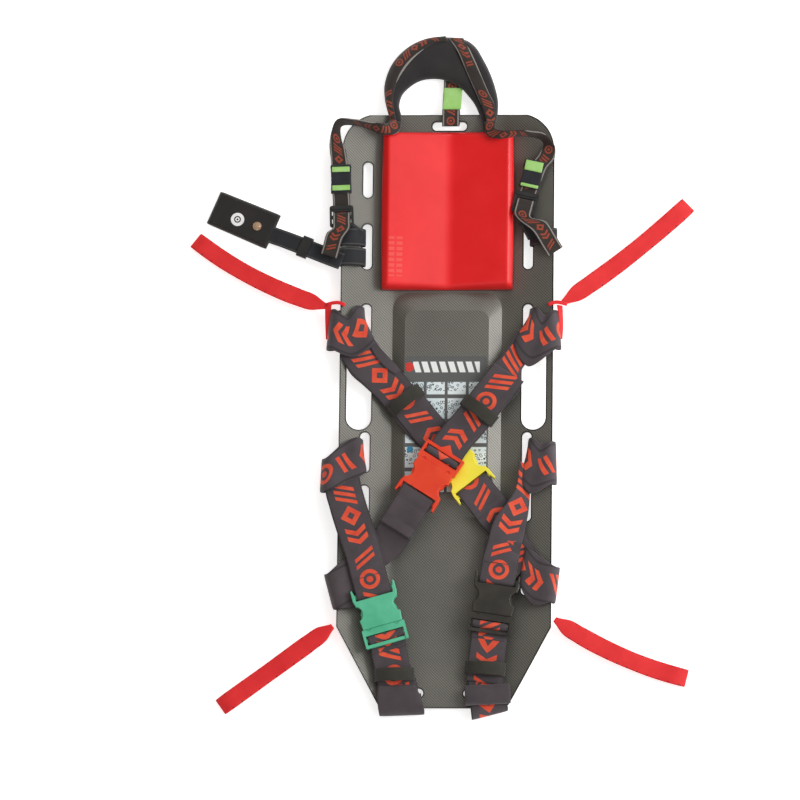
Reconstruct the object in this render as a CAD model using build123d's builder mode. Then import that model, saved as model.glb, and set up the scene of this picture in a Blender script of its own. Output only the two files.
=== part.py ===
from build123d import *
import os
from math import asin, cos, degrees, hypot, radians, sin, tan

# Rescue stretcher: a pressed carbon rescue board with a four-buckle harness, a head pad,
# a padded drag yoke and four webbing handles.
# Frame: X to the right, Y towards the head, Z up from the flat underside of the board.
# The origin is the middle of the harness area, on the board's underside. All sizes are in millimetres.

os.makedirs("parts", exist_ok=True)

# ---------------------------------------------------------------- driving dimensions
BOARD_LENGTH = 828
FOOT_Y = -412                 # foot end of the board
BOARD_WIDTH = 294
BOARD_THICKNESS = 5
FLAT_HALF_WIDTH = 75          # the flanges start to rise here
FLANGE_ANGLE = 12
BEND_RADIUS = 60
ROCKER_RADIUS = 420           # both ends curve up
ROCKER_START = 330            # distance from the origin to where each end starts to curve
HEAD_CORNER_RADIUS = 52
TAPER_START = 111             # the foot end narrows over this length
FOOT_HALF_WIDTH = 87
FOOT_CORNER_RADIUS = 14

SLOT_WIDTH = 13
SLOT_X = 111.5                # middle of the row of slots beside each edge
FOOT_SLOT_X = 57.5
FOOT_SLOT_Y = -391
FOOT_SLOT_LENGTH = 60
TOP_SLOT = (1, 400, 48, 12)   # x, y, length, width
HAND_HOLE = (120.5, 30.5, 115, 34)

CORE_TOP = 12                 # height of the stiffening core over the underside
CORE_BASE = 3                 # the core's flanks start inside the board's skin
CORE_BASE_SIZE = (164, 328)
CORE_BASE_CORNER = 28
CORE_CROWN_SIZE = (116, 264)
CORE_CROWN_CORNER = 14
LABEL_SIZE = (112, 192)
LABEL_MIDDLE_Y = -20
LABEL_THICKNESS = 0.4

PAD_FOOT_Y = 171
PAD_HEAD_Y = 384
PAD_HALF_WIDTH = 90
PAD_SIDE_HEIGHT = 33
PAD_VALLEY_HEIGHT = 14
PAD_FLOOR = 6.8
HOOK_STRIP_SIZE = (50, 120)

WEB_WIDTH = 50                # harness webbing
WEB_THICKNESS = 2.2
SMALL_WEB_WIDTH = 25          # handles, yoke and head strap webbing
LOOP_BAR_GAP = 0.7            # under a flange bar
LOOP_TOP_GAP = 8.3            # slack of a loop over a flange bar

BUCKLE_HALF_HEIGHT = 6.5
BUCKLE_BAR_HALF_HEIGHT = 2.5
SOCKET_END = -50              # outer face of the bar that the sewn webbing goes round
TONGUE_END = 26
PRONG_PIVOT_B = 19.5
PRONG_LENGTH = 31

HEAD_Y = FOOT_Y + BOARD_LENGTH
EDGE_X = BOARD_WIDTH / 2
HEAD_ROCKER_ANGLE = degrees(asin((HEAD_Y - ROCKER_START) / ROCKER_RADIUS))
FOOT_ROCKER_ANGLE = degrees(asin((-FOOT_Y - ROCKER_START) / ROCKER_RADIUS))
SLOPE = tan(radians(FLANGE_ANGLE))
SLOT_OUTER_X = SLOT_X + SLOT_WIDTH / 2

# (y of the middle, length) of each slot in the row; the same on both sides
SLOTS = {"A": (324, 50), "B": (230, 64), "C": (120, 58), "E": (-58, 56), "F": (-129, 50), "G": (-227, 58)}

# each buckle: middle of the mating plane (x, y, z) and the direction from socket to tongue
BUCKLES = {
    "red": (-11.5, -81.3, 33.3, 57.6),
    "yellow": (10.3, -69.3, 19.5, 128.0),
    "green": (-82.2, -301.0, 30.0, -74.0),
    "black": (66.7, -285.4, 30.0, -98.5),
}


# ---------------------------------------------------------------- shared helpers
def save(part, label):
    """Label a finished piece and write it as its own node."""
    part.label = label
    export_step(part, f"parts/{label}.step")


def rocker_rise(y):
    """Height that the curved ends add to the board at y."""
    beyond = max(0, abs(y) - ROCKER_START)
    return ROCKER_RADIUS - (ROCKER_RADIUS**2 - beyond**2) ** 0.5


def rocker_slope(y):
    """Angle of the curved end at y, in degrees."""
    return degrees(asin(max(0, abs(y) - ROCKER_START) / ROCKER_RADIUS))


def upright_plane(start, end):
    """Vertical plane through two points: its x runs from start to end and its y is up."""
    dx, dy = end[0] - start[0], end[1] - start[1]
    return Plane(origin=(start[0], start[1], 0), x_dir=(dx, dy, 0), z_dir=(dy, -dx, 0))


def buckle_plane(name):
    """Plane of a buckle: x from socket to tongue, z up, origin in the mating plane."""
    x, y, z, angle = BUCKLES[name]
    return Plane(origin=(x, y, z), x_dir=(cos(radians(angle)), sin(radians(angle)), 0), z_dir=(0, 0, 1))


def on_buckle(name, a):
    """Point (x, y) on a buckle's long axis, a from the mating plane."""
    point = buckle_plane(name).from_local_coords((a, 0, 0))
    return (point.X, point.Y)


def run(start, end, heights, width=WEB_WIDTH, thickness=WEB_THICKNESS, bend=25):
    """Flat webbing from start to end; heights are (share of the way, z of its middle)."""
    length = hypot(end[0] - start[0], end[1] - start[1])
    points = [(share * length, z) for share, z in heights]
    with BuildSketch(upright_plane(start, end)) as side:
        with BuildLine():
            if len(points) == 2:
                Line(*points)
            else:
                FilletPolyline(*points, radius=bend)
        trace(line_width=thickness)
    extrude(side.sketch, amount=width / 2, both=True)


def closed_loop(plane, bar_width, bar_height, width, gap=0.4, top_gap=None):
    """Webbing that goes once round a bar whose section is centred on the plane."""
    top_gap = gap if top_gap is None else top_gap
    inner_width = bar_width + 2 * gap
    inner_height = bar_height + gap + top_gap
    lift = (top_gap - gap) / 2
    with BuildSketch(plane) as ring:
        with Locations((0, lift)):
            RectangleRounded(inner_width + 2 * WEB_THICKNESS, inner_height + 2 * WEB_THICKNESS, 2.6)
            RectangleRounded(inner_width, inner_height, 0.6, mode=Mode.SUBTRACT)
    extrude(ring.sketch, amount=width / 2, both=True)


def flange_bar_plane(side, y):
    """Section plane of the bar between a slot and the board's long edge."""
    middle_x = (SLOT_OUTER_X + EDGE_X) / 2
    middle_z = (middle_x - FLAT_HALF_WIDTH) * SLOPE + BOARD_THICKNESS / 2
    up = radians(FLANGE_ANGLE)
    return Plane(
        origin=(side * middle_x, y, middle_z),
        x_dir=(side * cos(up), 0, sin(up)),
        z_dir=(0, -side, 0),
    )


def flange_loop(side, y, width=WEB_WIDTH, top_gap=LOOP_TOP_GAP):
    """Webbing round the bar between a slot and the board's long edge."""
    bar_width = (EDGE_X - SLOT_OUTER_X) / cos(radians(FLANGE_ANGLE))
    closed_loop(flange_bar_plane(side, y), bar_width + 1.6, BOARD_THICKNESS, width, LOOP_BAR_GAP, top_gap)


def end_loop(x, slot_edge_y, width, top_gap):
    """Webbing round the bar between a cross slot and the nearest end of the board."""
    toward_end = 1 if slot_edge_y > 0 else -1
    bar_width = (HEAD_Y if toward_end > 0 else -FOOT_Y) - abs(slot_edge_y)
    middle_y = abs(slot_edge_y) + bar_width / 2
    angle = radians(rocker_slope(middle_y))
    plane = Plane(
        origin=(x, toward_end * middle_y, rocker_rise(middle_y) + BOARD_THICKNESS / 2),
        x_dir=(0, toward_end * cos(angle), sin(angle)),
        z_dir=(toward_end, 0, 0),
    )
    closed_loop(plane, bar_width + 1, BOARD_THICKNESS, width, LOOP_BAR_GAP, top_gap)


def band(plane, inner_width, inner_height, wall, length):
    """Flat closed band round webbing that runs along the plane's normal."""
    with BuildSketch(plane) as ring:
        RectangleRounded(inner_width + 2 * wall, inner_height + 2 * wall, wall)
        Rectangle(inner_width, inner_height, mode=Mode.SUBTRACT)
    extrude(ring.sketch, amount=length / 2, both=True)


def along_plane(point, toward):
    """Plane whose normal runs from point to toward, with its x level."""
    direction = Vector(*toward) - Vector(*point)
    level = Vector(direction.Y, -direction.X, 0)
    return Plane(origin=point, x_dir=level, z_dir=direction)


# ---------------------------------------------------------------- board
flange_rise = (EDGE_X - FLAT_HALF_WIDTH) * SLOPE
half = BOARD_THICKNESS / 2

with BuildLine(Plane.YZ) as spine:
    foot_arc = JernArc((-ROCKER_START, half), (-1, 0), ROCKER_RADIUS, -FOOT_ROCKER_ANGLE)
    Line((-ROCKER_START, half), (ROCKER_START, half))
    JernArc((ROCKER_START, half), (1, 0), ROCKER_RADIUS, HEAD_ROCKER_ANGLE)

with BuildPart() as board:
    section_plane = Plane(origin=foot_arc @ 1, x_dir=(1, 0, 0), z_dir=(foot_arc % 1) * -1)
    with BuildSketch(section_plane) as section:
        with BuildLine():
            FilletPolyline(
                (-EDGE_X - 4, -flange_rise - 4 * SLOPE),
                (-FLAT_HALF_WIDTH, 0),
                (FLAT_HALF_WIDTH, 0),
                (EDGE_X + 4, -flange_rise - 4 * SLOPE),
                radius=BEND_RADIUS,
            )
        trace(line_width=BOARD_THICKNESS)
    sweep(path=spine.wire())

    with BuildSketch(Plane.XY.offset(-20)) as outline:
        with BuildLine():
            Polyline(
                (-FOOT_HALF_WIDTH, FOOT_Y),
                (FOOT_HALF_WIDTH, FOOT_Y),
                (EDGE_X, FOOT_Y + TAPER_START),
                (EDGE_X, HEAD_Y),
                (-EDGE_X, HEAD_Y),
                (-EDGE_X, FOOT_Y + TAPER_START),
                close=True,
            )
        make_face()
        fillet(outline.vertices().group_by(Axis.Y)[-1], HEAD_CORNER_RADIUS)
        fillet(outline.vertices().group_by(Axis.Y)[0], FOOT_CORNER_RADIUS)
    extrude(amount=80, mode=Mode.INTERSECT)

    with BuildSketch(Plane.XY.offset(CORE_BASE)):
        with Locations((0, 10)):
            RectangleRounded(*CORE_BASE_SIZE, CORE_BASE_CORNER)
    with BuildSketch(Plane.XY.offset(CORE_TOP)):
        with Locations((0, 8)):
            RectangleRounded(*CORE_CROWN_SIZE, CORE_CROWN_CORNER)
    loft()

    with BuildSketch(Plane.XY.offset(-5)):
        for side in (-1, 1):
            for slot_y, slot_length in SLOTS.values():
                with Locations((side * SLOT_X, slot_y)):
                    SlotOverall(slot_length, SLOT_WIDTH, rotation=90)
            with Locations((side * HAND_HOLE[0], HAND_HOLE[1])):
                SlotOverall(HAND_HOLE[2], HAND_HOLE[3], rotation=90)
            with Locations((side * FOOT_SLOT_X, FOOT_SLOT_Y)):
                SlotOverall(FOOT_SLOT_LENGTH, SLOT_WIDTH)
        with Locations(TOP_SLOT[:2]):
            SlotOverall(TOP_SLOT[2], TOP_SLOT[3])
    extrude(amount=60, mode=Mode.SUBTRACT)
save(board.part, "board")

with BuildPart() as instruction_label:
    with BuildSketch(Plane.XY.offset(CORE_TOP)):
        with Locations((0, LABEL_MIDDLE_Y)):
            RectangleRounded(*LABEL_SIZE, 3)
    extrude(amount=LABEL_THICKNESS)
save(instruction_label.part, "instruction_label")

# ---------------------------------------------------------------- head pad
pad_length = PAD_HEAD_Y - PAD_FOOT_Y
pad_edge_floor = PAD_FLOOR + (PAD_HALF_WIDTH - FLAT_HALF_WIDTH) * SLOPE

with BuildPart() as head_pad:
    with BuildSketch(Plane.XZ.offset(-PAD_HEAD_Y)):
        with BuildLine():
            Polyline(
                (-PAD_HALF_WIDTH, pad_edge_floor),
                (-FLAT_HALF_WIDTH, PAD_FLOOR),
                (FLAT_HALF_WIDTH, PAD_FLOOR),
                (PAD_HALF_WIDTH, pad_edge_floor),
                (PAD_HALF_WIDTH - 4, PAD_SIDE_HEIGHT),
                (0, PAD_VALLEY_HEIGHT),
                (-PAD_HALF_WIDTH + 4, PAD_SIDE_HEIGHT),
                close=True,
            )
        make_face()
    extrude(amount=pad_length)
    with BuildSketch(Plane.YZ):
        with BuildLine():
            Polyline(
                (ROCKER_START - 6, PAD_FLOOR - 10),
                (ROCKER_START - 6, PAD_FLOOR - 0.1),
                (PAD_HEAD_Y + 5, PAD_FLOOR + rocker_rise(PAD_HEAD_Y + 5) + 0.6),
                (PAD_HEAD_Y + 5, PAD_FLOOR - 10),
                close=True,
            )
        make_face()
    extrude(amount=PAD_HALF_WIDTH - 12, both=True, mode=Mode.SUBTRACT)
    with BuildSketch(Plane.YZ):
        with BuildLine():
            Polyline(
                (ROCKER_START - 6, pad_edge_floor - 10),
                (ROCKER_START - 6, pad_edge_floor),
                (PAD_HEAD_Y + 5, pad_edge_floor + rocker_rise(PAD_HEAD_Y + 5) + 0.6),
                (PAD_HEAD_Y + 5, pad_edge_floor - 10),
                close=True,
            )
        make_face()
    extrude(amount=PAD_HALF_WIDTH + 5, both=True, mode=Mode.SUBTRACT)
save(head_pad.part, "head_pad")

with BuildPart() as pad_hook_strips:
    with BuildSketch(Plane.XY.offset(BOARD_THICKNESS)):
        with Locations((-42, 248), (42, 248)):
            Rectangle(*HOOK_STRIP_SIZE)
    extrude(amount=PAD_FLOOR - BOARD_THICKNESS)
save(pad_hook_strips.part, "pad_hook_strips")


# ---------------------------------------------------------------- side-release buckles
def make_socket(name):
    """Female half: flared shell, prong windows, webbing bar between two horns."""
    plane = buckle_plane(name)
    with BuildPart() as socket:
        with BuildSketch(plane):
            with BuildLine():
                Polyline(
                    (-0.3, 27.5), (-12, 28.5), (-36, 29.5), (-42, 31), (-56, 31), (-57, 28.6),
                    (SOCKET_END, 27), (SOCKET_END, -27),
                    (-57, -28.6), (-56, -31), (-42, -31), (-36, -29.5), (-12, -28.5), (-0.3, -27.5),
                    close=True,
                )
            make_face()
            with Locations((-24, 33), (-24, -33)):
                Circle(11, mode=Mode.SUBTRACT)
        extrude(amount=BUCKLE_HALF_HEIGHT, both=True)
        rims = socket.faces().filter_by(Axis.Z).edges()
        fillet(rims, 1.1)
        with BuildSketch(plane):
            with Locations((-18, 0)):
                Rectangle(38, 45)
            with Locations((-24, 0)):
                Rectangle(22, 80)
        extrude(amount=4.2, both=True, mode=Mode.SUBTRACT)
        with BuildSketch(plane):
            with Locations((-42.6, 0)):
                Rectangle(3.8, 52.6)
        extrude(amount=10, both=True, mode=Mode.SUBTRACT)
        for level in (-1, 1):
            middle = level * (BUCKLE_BAR_HALF_HEIGHT + 10)
            with BuildSketch(plane.offset(middle)):
                with Locations((-53, 0)):
                    Rectangle(17, 52.6)
            extrude(amount=10, both=True, mode=Mode.SUBTRACT)
    return socket.part


def make_tongue(name):
    """Male half: frame with an adjuster bar, a shoulder plate and a guide pin."""
    plane = buckle_plane(name)
    rail_x = TONGUE_END / 2
    with BuildPart() as tongue:
        with BuildSketch(plane):
            with Locations((rail_x, 0)):
                RectangleRounded(TONGUE_END, 60, 3)
            with Locations((11, 0)):
                Rectangle(4, 53, mode=Mode.SUBTRACT)
            with Locations((19.25, 0)):
                Rectangle(4.5, 53, mode=Mode.SUBTRACT)
        extrude(amount=BUCKLE_BAR_HALF_HEIGHT, both=True)
        with BuildSketch(plane):
            with Locations((4.5, 0)):
                RectangleRounded(9, 57, 1.5)
            with Locations((rail_x, 28.25), (rail_x, -28.25)):
                RectangleRounded(TONGUE_END, 3.5, 1.5)
        extrude(amount=4.8, both=True)
        with BuildSketch(plane):
            with Locations((-9.5, 0)):
                RectangleRounded(21, 11, 2)
        extrude(amount=3, both=True)
        with BuildSketch(plane):
            with Locations((0, PRONG_PIVOT_B), (0, -PRONG_PIVOT_B)):
                Circle(2.95)
        extrude(amount=10, both=True, mode=Mode.SUBTRACT)
    return tongue.part


def make_prong(name, side):
    """Springy arm with a finger pad and a latching shoulder; side is 1 or -1."""
    plane = buckle_plane(name)
    inner = side * (PRONG_PIVOT_B - 2.4)
    outer = side * (PRONG_PIVOT_B + 2.4)
    with BuildPart() as prong:
        with BuildSketch(plane):
            with BuildLine():
                Polyline(
                    (0, inner), (0, outer), (-13.9, outer), (-13.9, side * 25.3), (-22, side * 25),
                    (-29, side * 22), (-PRONG_LENGTH, side * 19), (-PRONG_LENGTH, inner),
                    close=True,
                )
            make_face()
            with Locations((0, side * PRONG_PIVOT_B)):
                Circle(2.6)
        extrude(amount=3.8, both=True)
    return prong.part


for colour in BUCKLES:
    save(make_socket(colour), f"{colour}_socket")
    save(make_tongue(colour), f"{colour}_tongue")
    save(make_prong(colour, 1), f"{colour}_prong_left")
    save(make_prong(colour, -1), f"{colour}_prong_right")


def socket_loop(name):
    """Sewn end of a strap round the socket's bar, straight out between the horns."""
    plane = buckle_plane(name)
    middle = plane.from_local_coords((SOCKET_END + 2.75, 0, 0))
    section = Plane(origin=middle, x_dir=plane.x_dir, z_dir=-plane.y_dir)
    closed_loop(section, 5.5, 2 * BUCKLE_BAR_HALF_HEIGHT, WEB_WIDTH)
    z = BUCKLES[name][2]
    run(on_buckle(name, SOCKET_A), on_buckle(name, SOCKET_CLEAR_A - 4), ((0, z), (1, z)))


def tongue_loop(name):
    """Adjustable end of a strap round the tongue's middle bar."""
    plane = buckle_plane(name)
    middle = plane.from_local_coords((15, 0, 0))
    section = Plane(origin=middle, x_dir=plane.x_dir, z_dir=-plane.y_dir)
    closed_loop(section, 4, 2 * BUCKLE_BAR_HALF_HEIGHT, WEB_WIDTH)


# ---------------------------------------------------------------- harness straps
LOOP_Z = 25                                     # middle of the webbing over a flange bar
UNDER_BAR = BUCKLE_BAR_HALF_HEIGHT + 0.4 + WEB_THICKNESS / 2
TONGUE_A = 16                                   # where a strap leaves the tongue's loop
SOCKET_A = SOCKET_END - 1.2                     # where a strap leaves the socket's loop
SOCKET_CLEAR_A = SOCKET_END - 9                 # where it is past the horns and may turn

red_z = BUCKLES["red"][2]
yellow_z = BUCKLES["yellow"][2]
leg_z = BUCKLES["green"][2]

shoulder_left_start = (-127, 101)
shoulder_left_heights = ((0, LOOP_Z), (0.25, 17.5), (1, yellow_z - UNDER_BAR))
with BuildPart() as shoulder_strap_left:
    flange_loop(-1, 119)
    run(shoulder_left_start, on_buckle("yellow", TONGUE_A), shoulder_left_heights)
    tongue_loop("yellow")
save(shoulder_strap_left.part, "shoulder_strap_left")

shoulder_right_start = (124, 99)
shoulder_right_heights = ((0, LOOP_Z), (1, red_z - UNDER_BAR))
with BuildPart() as shoulder_strap_right:
    flange_loop(1, 119)
    run(shoulder_right_start, on_buckle("red", TONGUE_A), shoulder_right_heights)
    tongue_loop("red")
save(shoulder_strap_right.part, "shoulder_strap_right")

with BuildPart() as hip_strap_left:
    flange_loop(-1, SLOTS["G"][0])
    hip_heights = ((0, red_z), (0.12, red_z), (0.7, 21), (1, LOOP_Z))
    run(on_buckle("red", SOCKET_CLEAR_A), (-119, -217), hip_heights, bend=15)
    socket_loop("red")
save(hip_strap_left.part, "hip_strap_left")

with BuildPart() as hip_strap_right:
    flange_loop(1, SLOTS["G"][0])
    run(on_buckle("yellow", SOCKET_CLEAR_A), (119, -217), ((0, yellow_z), (0.6, yellow_z), (1, LOOP_Z)))
    socket_loop("yellow")
save(hip_strap_right.part, "hip_strap_right")

with BuildPart() as leg_strap_left_upper:
    flange_loop(-1, -58)
    run((-131, -70), on_buckle("green", SOCKET_CLEAR_A), ((0, LOOP_Z), (0.35, leg_z), (1, leg_z)))
    socket_loop("green")
save(leg_strap_left_upper.part, "leg_strap_left_upper")

with BuildPart() as leg_strap_right_upper:
    flange_loop(1, -58)
    run((124, -70), on_buckle("black", SOCKET_CLEAR_A), ((0, LOOP_Z), (0.35, leg_z), (1, leg_z)))
    socket_loop("black")
save(leg_strap_right_upper.part, "leg_strap_right_upper")

FOOT_SLOT_EDGE_Y = FOOT_SLOT_Y - SLOT_WIDTH / 2
FOOT_LOOP_Z = 16.5
foot_ends = {"green": (-FOOT_SLOT_X, -400), "black": (FOOT_SLOT_X, -400)}
foot_heights = ((0, leg_z - UNDER_BAR), (0.45, FOOT_LOOP_Z + 2.5), (1, FOOT_LOOP_Z))

with BuildPart() as leg_strap_left_lower:
    end_loop(foot_ends["green"][0], FOOT_SLOT_EDGE_Y, WEB_WIDTH, 5)
    run(on_buckle("green", TONGUE_A), foot_ends["green"], foot_heights)
    tongue_loop("green")
save(leg_strap_left_lower.part, "leg_strap_left_lower")

with BuildPart() as leg_strap_right_lower:
    end_loop(foot_ends["black"][0], FOOT_SLOT_EDGE_Y, WEB_WIDTH, 5)
    run(on_buckle("black", TONGUE_A), foot_ends["black"], foot_heights)
    tongue_loop("black")
save(leg_strap_right_lower.part, "leg_strap_right_lower")


# ---------------------------------------------------------------- elastic keepers
def point_on_run(start, end, heights, share):
    """Middle of the webbing at a share of the way along a run's last straight stretch."""
    (share_a, z_a), (share_b, z_b) = heights[-2:]
    z = z_a + (z_b - z_a) * (share - share_a) / (share_b - share_a)
    return (start[0] + (end[0] - start[0]) * share, start[1] + (end[1] - start[1]) * share, z)


def make_keeper(start, end, heights, share):
    """Elastic band that holds the loose tail against its strap."""
    here = point_on_run(start, end, heights, share)
    ahead = point_on_run(start, end, heights, share + 0.05)
    with BuildPart() as keeper:
        band(along_plane(here, ahead), WEB_WIDTH + 1.2, WEB_THICKNESS + 1, 1.3, 16)
    return keeper.part


save(
    make_keeper(shoulder_left_start, on_buckle("yellow", TONGUE_A), shoulder_left_heights, 0.58),
    "keeper_shoulder_left",
)
save(
    make_keeper(shoulder_right_start, on_buckle("red", TONGUE_A), shoulder_right_heights, 0.58),
    "keeper_shoulder_right",
)
save(make_keeper(on_buckle("green", TONGUE_A), foot_ends["green"], foot_heights, 0.62), "keeper_leg_left")
save(make_keeper(on_buckle("black", TONGUE_A), foot_ends["black"], foot_heights, 0.62), "keeper_leg_right")


# ---------------------------------------------------------------- webbing handles
HANDLE_ROOT_Z = 17
HANDLE_TIP_Z = 3.2
HANDLE_THICKNESS = 4.4                          # two layers sewn together

# root, tip and the sideways bow of the middle, looking from root to tip
HANDLES = {
    "handle_head_left": ((-166, 145), (-350, 241), 10),
    "handle_head_right": ((160, 150), (331, 289), -5),
    "handle_foot_left": ((-152, -300), (-305, -410), 0),
    "handle_foot_right": ((152, -290), (331, -369), -9),
}


def make_handle(root, tip, bow):
    """Doubled webbing pull handle, narrow where it is tied on and bowed a little sideways."""
    start = Vector(root[0], root[1], HANDLE_ROOT_Z)
    reach = Vector(tip[0], tip[1], HANDLE_TIP_Z) - start
    level = Vector(-reach.Y, reach.X, 0)
    plane = Plane(origin=start, x_dir=reach, z_dir=reach.cross(level))
    length = reach.length
    with BuildPart() as handle:
        with BuildSketch(plane):
            with BuildLine():
                if bow:
                    ThreePointArc((18, bow * 0.3), (length / 2, bow), (length, 0))
                else:
                    Line((18, 0), (length, 0))
            trace(line_width=SMALL_WEB_WIDTH)
            with BuildLine():
                Polyline((0, 4), (0, -4), (19, bow * 0.3 - 10), (19, bow * 0.3 + 10), close=True)
            make_face()
        extrude(amount=HANDLE_THICKNESS / 2, both=True)
    return handle.part


for label, (root, tip, bow) in HANDLES.items():
    save(make_handle(root, tip, bow), label)

# Short red webbing ties that hold the two head handles on the shoulder strap loops.
for side, name in ((-1, "handle_tie_left"), (1, "handle_tie_right")):
    with BuildPart() as tie:
        with BuildSketch(Plane.XY.offset(13)):
            with Locations((side * 157.4, 121)):
                RectangleRounded(4, 46, 1.5)
        extrude(amount=12)
    save(tie.part, name)

# ---------------------------------------------------------------- drag yoke
YOKE_HINGE_Y = 398
YOKE_UNDERSIDE = 17.7
YOKE_APEX_DROP = 0.1                            # the yoke slopes down beyond the board
YOKE_THICKNESS = 11
yoke_plane = Plane(
    origin=(0, YOKE_HINGE_Y, YOKE_UNDERSIDE),
    x_dir=(1, 0, 0),
    z_dir=(0, YOKE_APEX_DROP, 1),
)

# outer and inner edge of the crescent, measured from the hinge line
YOKE_OUTER = (
    (-78, 0), (-87, 37), (-83, 81), (-62, 111), (-26, 127),
    (11, 127), (35, 115), (56, 78), (68, 37), (64, 0),
)
YOKE_INNER = ((47, 0), (35, 32), (15, 57), (-23, 69), (-55, 57), (-68, 32), (-65, 0))
# middle lines of the two lengths of webbing sewn on it
YOKE_WEBBING_LEFT = ((-71.5, 3), (-77, 30), (-76, 60), (-61, 90), (-35, 109), (-3, 116))
YOKE_WEBBING_RIGHT = ((14, 112), (26, 92), (39, 66), (50, 38), (56, 16), (55, 2))
YOKE_WEBBING_WIDTH = 20                         # as it lies on the pad's crowned top

with BuildPart() as yoke_pad:
    with BuildSketch(yoke_plane):
        with BuildLine():
            outer_edge = Spline(*YOKE_OUTER)
            inner_edge = Spline(*YOKE_INNER)
            Line(outer_edge @ 1, inner_edge @ 0)
            Line(inner_edge @ 1, outer_edge @ 0)
        make_face()
    extrude(amount=YOKE_THICKNESS)
save(yoke_pad.part, "yoke_pad")


def yoke_webbing(middle_line):
    """Webbing sewn on the crescent's upper face."""
    with BuildPart() as webbing:
        with BuildSketch(yoke_plane.offset(YOKE_THICKNESS)):
            with BuildLine():
                Spline(*middle_line)
            trace(line_width=YOKE_WEBBING_WIDTH)
        extrude(amount=WEB_THICKNESS)
    return webbing.part


save(yoke_webbing(YOKE_WEBBING_LEFT), "yoke_webbing_left")
save(yoke_webbing(YOKE_WEBBING_RIGHT), "yoke_webbing_right")

TOP_SLOT_EDGE_Y = TOP_SLOT[1] + TOP_SLOT[3] / 2
CENTRE_X = 3
CENTRE_LOOP_TOP_GAP = 1.5
CENTRE_HEIGHTS = ((0, 16.6), (0.2, 16.6), (0.75, 8.6), (1, 7.6))   # down to the yoke's underside
with BuildPart() as centre_loop:
    end_loop(CENTRE_X, TOP_SLOT_EDGE_Y, SMALL_WEB_WIDTH, CENTRE_LOOP_TOP_GAP)
    run((CENTRE_X, 407), (CENTRE_X, 473), CENTRE_HEIGHTS, width=SMALL_WEB_WIDTH)
save(centre_loop.part, "centre_loop")

with BuildPart() as centre_tab:
    run((CENTRE_X, 423), (CENTRE_X, 453), ((0, 18.1), (1, 12.3)), width=24, thickness=1.4)
save(centre_tab.part, "centre_tab")

# ---------------------------------------------------------------- side webs with ladder locks
SIDE_WEB_Z = 26
SLEEVE_WALL = 1.8
SLOT_WEB_TOP_GAP = 1
LOCK_THICKNESS = 4
LOCK_BAR_WIDTH = 5
LOCK_FOOT_BAR_X = -11.5
SLOT_WEB_Z = 20
LOCK_Z = SIDE_WEB_Z + WEB_THICKNESS / 2 + 0.4 + LOCK_THICKNESS / 2

# corner by the yoke, corner at the board's shoulder, the lock, the tail's end,
# and the sleeve's share of the way from the corner to the lock
SIDES = {
    "left": {
        "tip": (-86, 398), "corner": (-150, 392), "lock": (-146, 268), "tail": (-163, 214), "sleeve": 0.56,
    },
    "right": {
        "tip": (70, 402), "corner": (131, 392), "lock": (107.5, 286), "tail": (150, 219), "sleeve": 0.6,
    },
}


def flat_run(start, end, z, width=SMALL_WEB_WIDTH, thickness=WEB_THICKNESS):
    """Level webbing from start to end."""
    run(start, end, ((0, z), (1, z)), width, thickness)


def lock_plane(places):
    """Plane of a ladder lock: x back towards the sleeve, z up, origin at its middle bar."""
    (corner_x, corner_y), (lock_x, lock_y) = places["corner"], places["lock"]
    return Plane(
        origin=(lock_x, lock_y, LOCK_Z),
        x_dir=(corner_x - lock_x, corner_y - lock_y, 0),
        z_dir=(0, 0, 1),
    )


def make_upper_web(places):
    """Webbing from the yoke round the board's shoulder, through the lock to its tail."""
    plane = lock_plane(places)
    over_bar = LOCK_Z + LOCK_THICKNESS / 2 + 0.4 + WEB_THICKNESS / 2
    over_foot_web = over_bar + WEB_THICKNESS + 1.4
    tail_heights = ((0, over_foot_web), (0.36, over_foot_web), (1, SIDE_WEB_Z + 1.5))
    fold_ends = [plane.from_local_coords((a, 0, 0)) for a in (2.6, -2.6)]
    with BuildPart() as web:
        flat_run(places["tip"], places["corner"], SIDE_WEB_Z)
        flat_run(places["corner"], places["lock"], SIDE_WEB_Z)
        with BuildSketch(Plane.XY.offset(SIDE_WEB_Z - WEB_THICKNESS / 2)):
            with Locations(places["corner"]):
                Circle(SMALL_WEB_WIDTH / 2)
        extrude(amount=WEB_THICKNESS)
        section = Plane(origin=plane.origin, x_dir=plane.x_dir, z_dir=-plane.y_dir)
        closed_loop(section, LOCK_BAR_WIDTH, LOCK_THICKNESS, SMALL_WEB_WIDTH)
        fold_z = (over_bar + over_foot_web) / 2
        fold_start, fold_end = [(point.X, point.Y) for point in fold_ends]
        flat_run(fold_start, fold_end, fold_z, SMALL_WEB_WIDTH - 1, over_foot_web - over_bar + 1)
        run(places["lock"], places["tail"], tail_heights, SMALL_WEB_WIDTH, bend=10)
    return web.part


def make_lower_web(side, places, loop_y):
    """Short webbing from the lock's foot bar into the slot below it."""
    plane = lock_plane(places)
    bar = plane.from_local_coords((LOCK_FOOT_BAR_X, 0, 0))
    section = Plane(origin=bar, x_dir=plane.x_dir, z_dir=-plane.y_dir)
    under_bar = LOCK_Z - LOCK_THICKNESS / 2 - 0.4 - WEB_THICKNESS / 2
    slot_point = Vector(side * (SLOT_OUTER_X + 8), loop_y)
    start = Vector(bar.X, bar.Y) + (slot_point - Vector(bar.X, bar.Y)).normalized() * 9
    with BuildPart() as web:
        closed_loop(section, LOCK_BAR_WIDTH, LOCK_THICKNESS, SMALL_WEB_WIDTH)
        slot_heights = ((0, under_bar), (1, SLOT_WEB_Z))
        run((start.X, start.Y), (slot_point.X, slot_point.Y), slot_heights, SMALL_WEB_WIDTH)
        flange_loop(side, loop_y, SMALL_WEB_WIDTH, SLOT_WEB_TOP_GAP)
    return web.part


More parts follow.
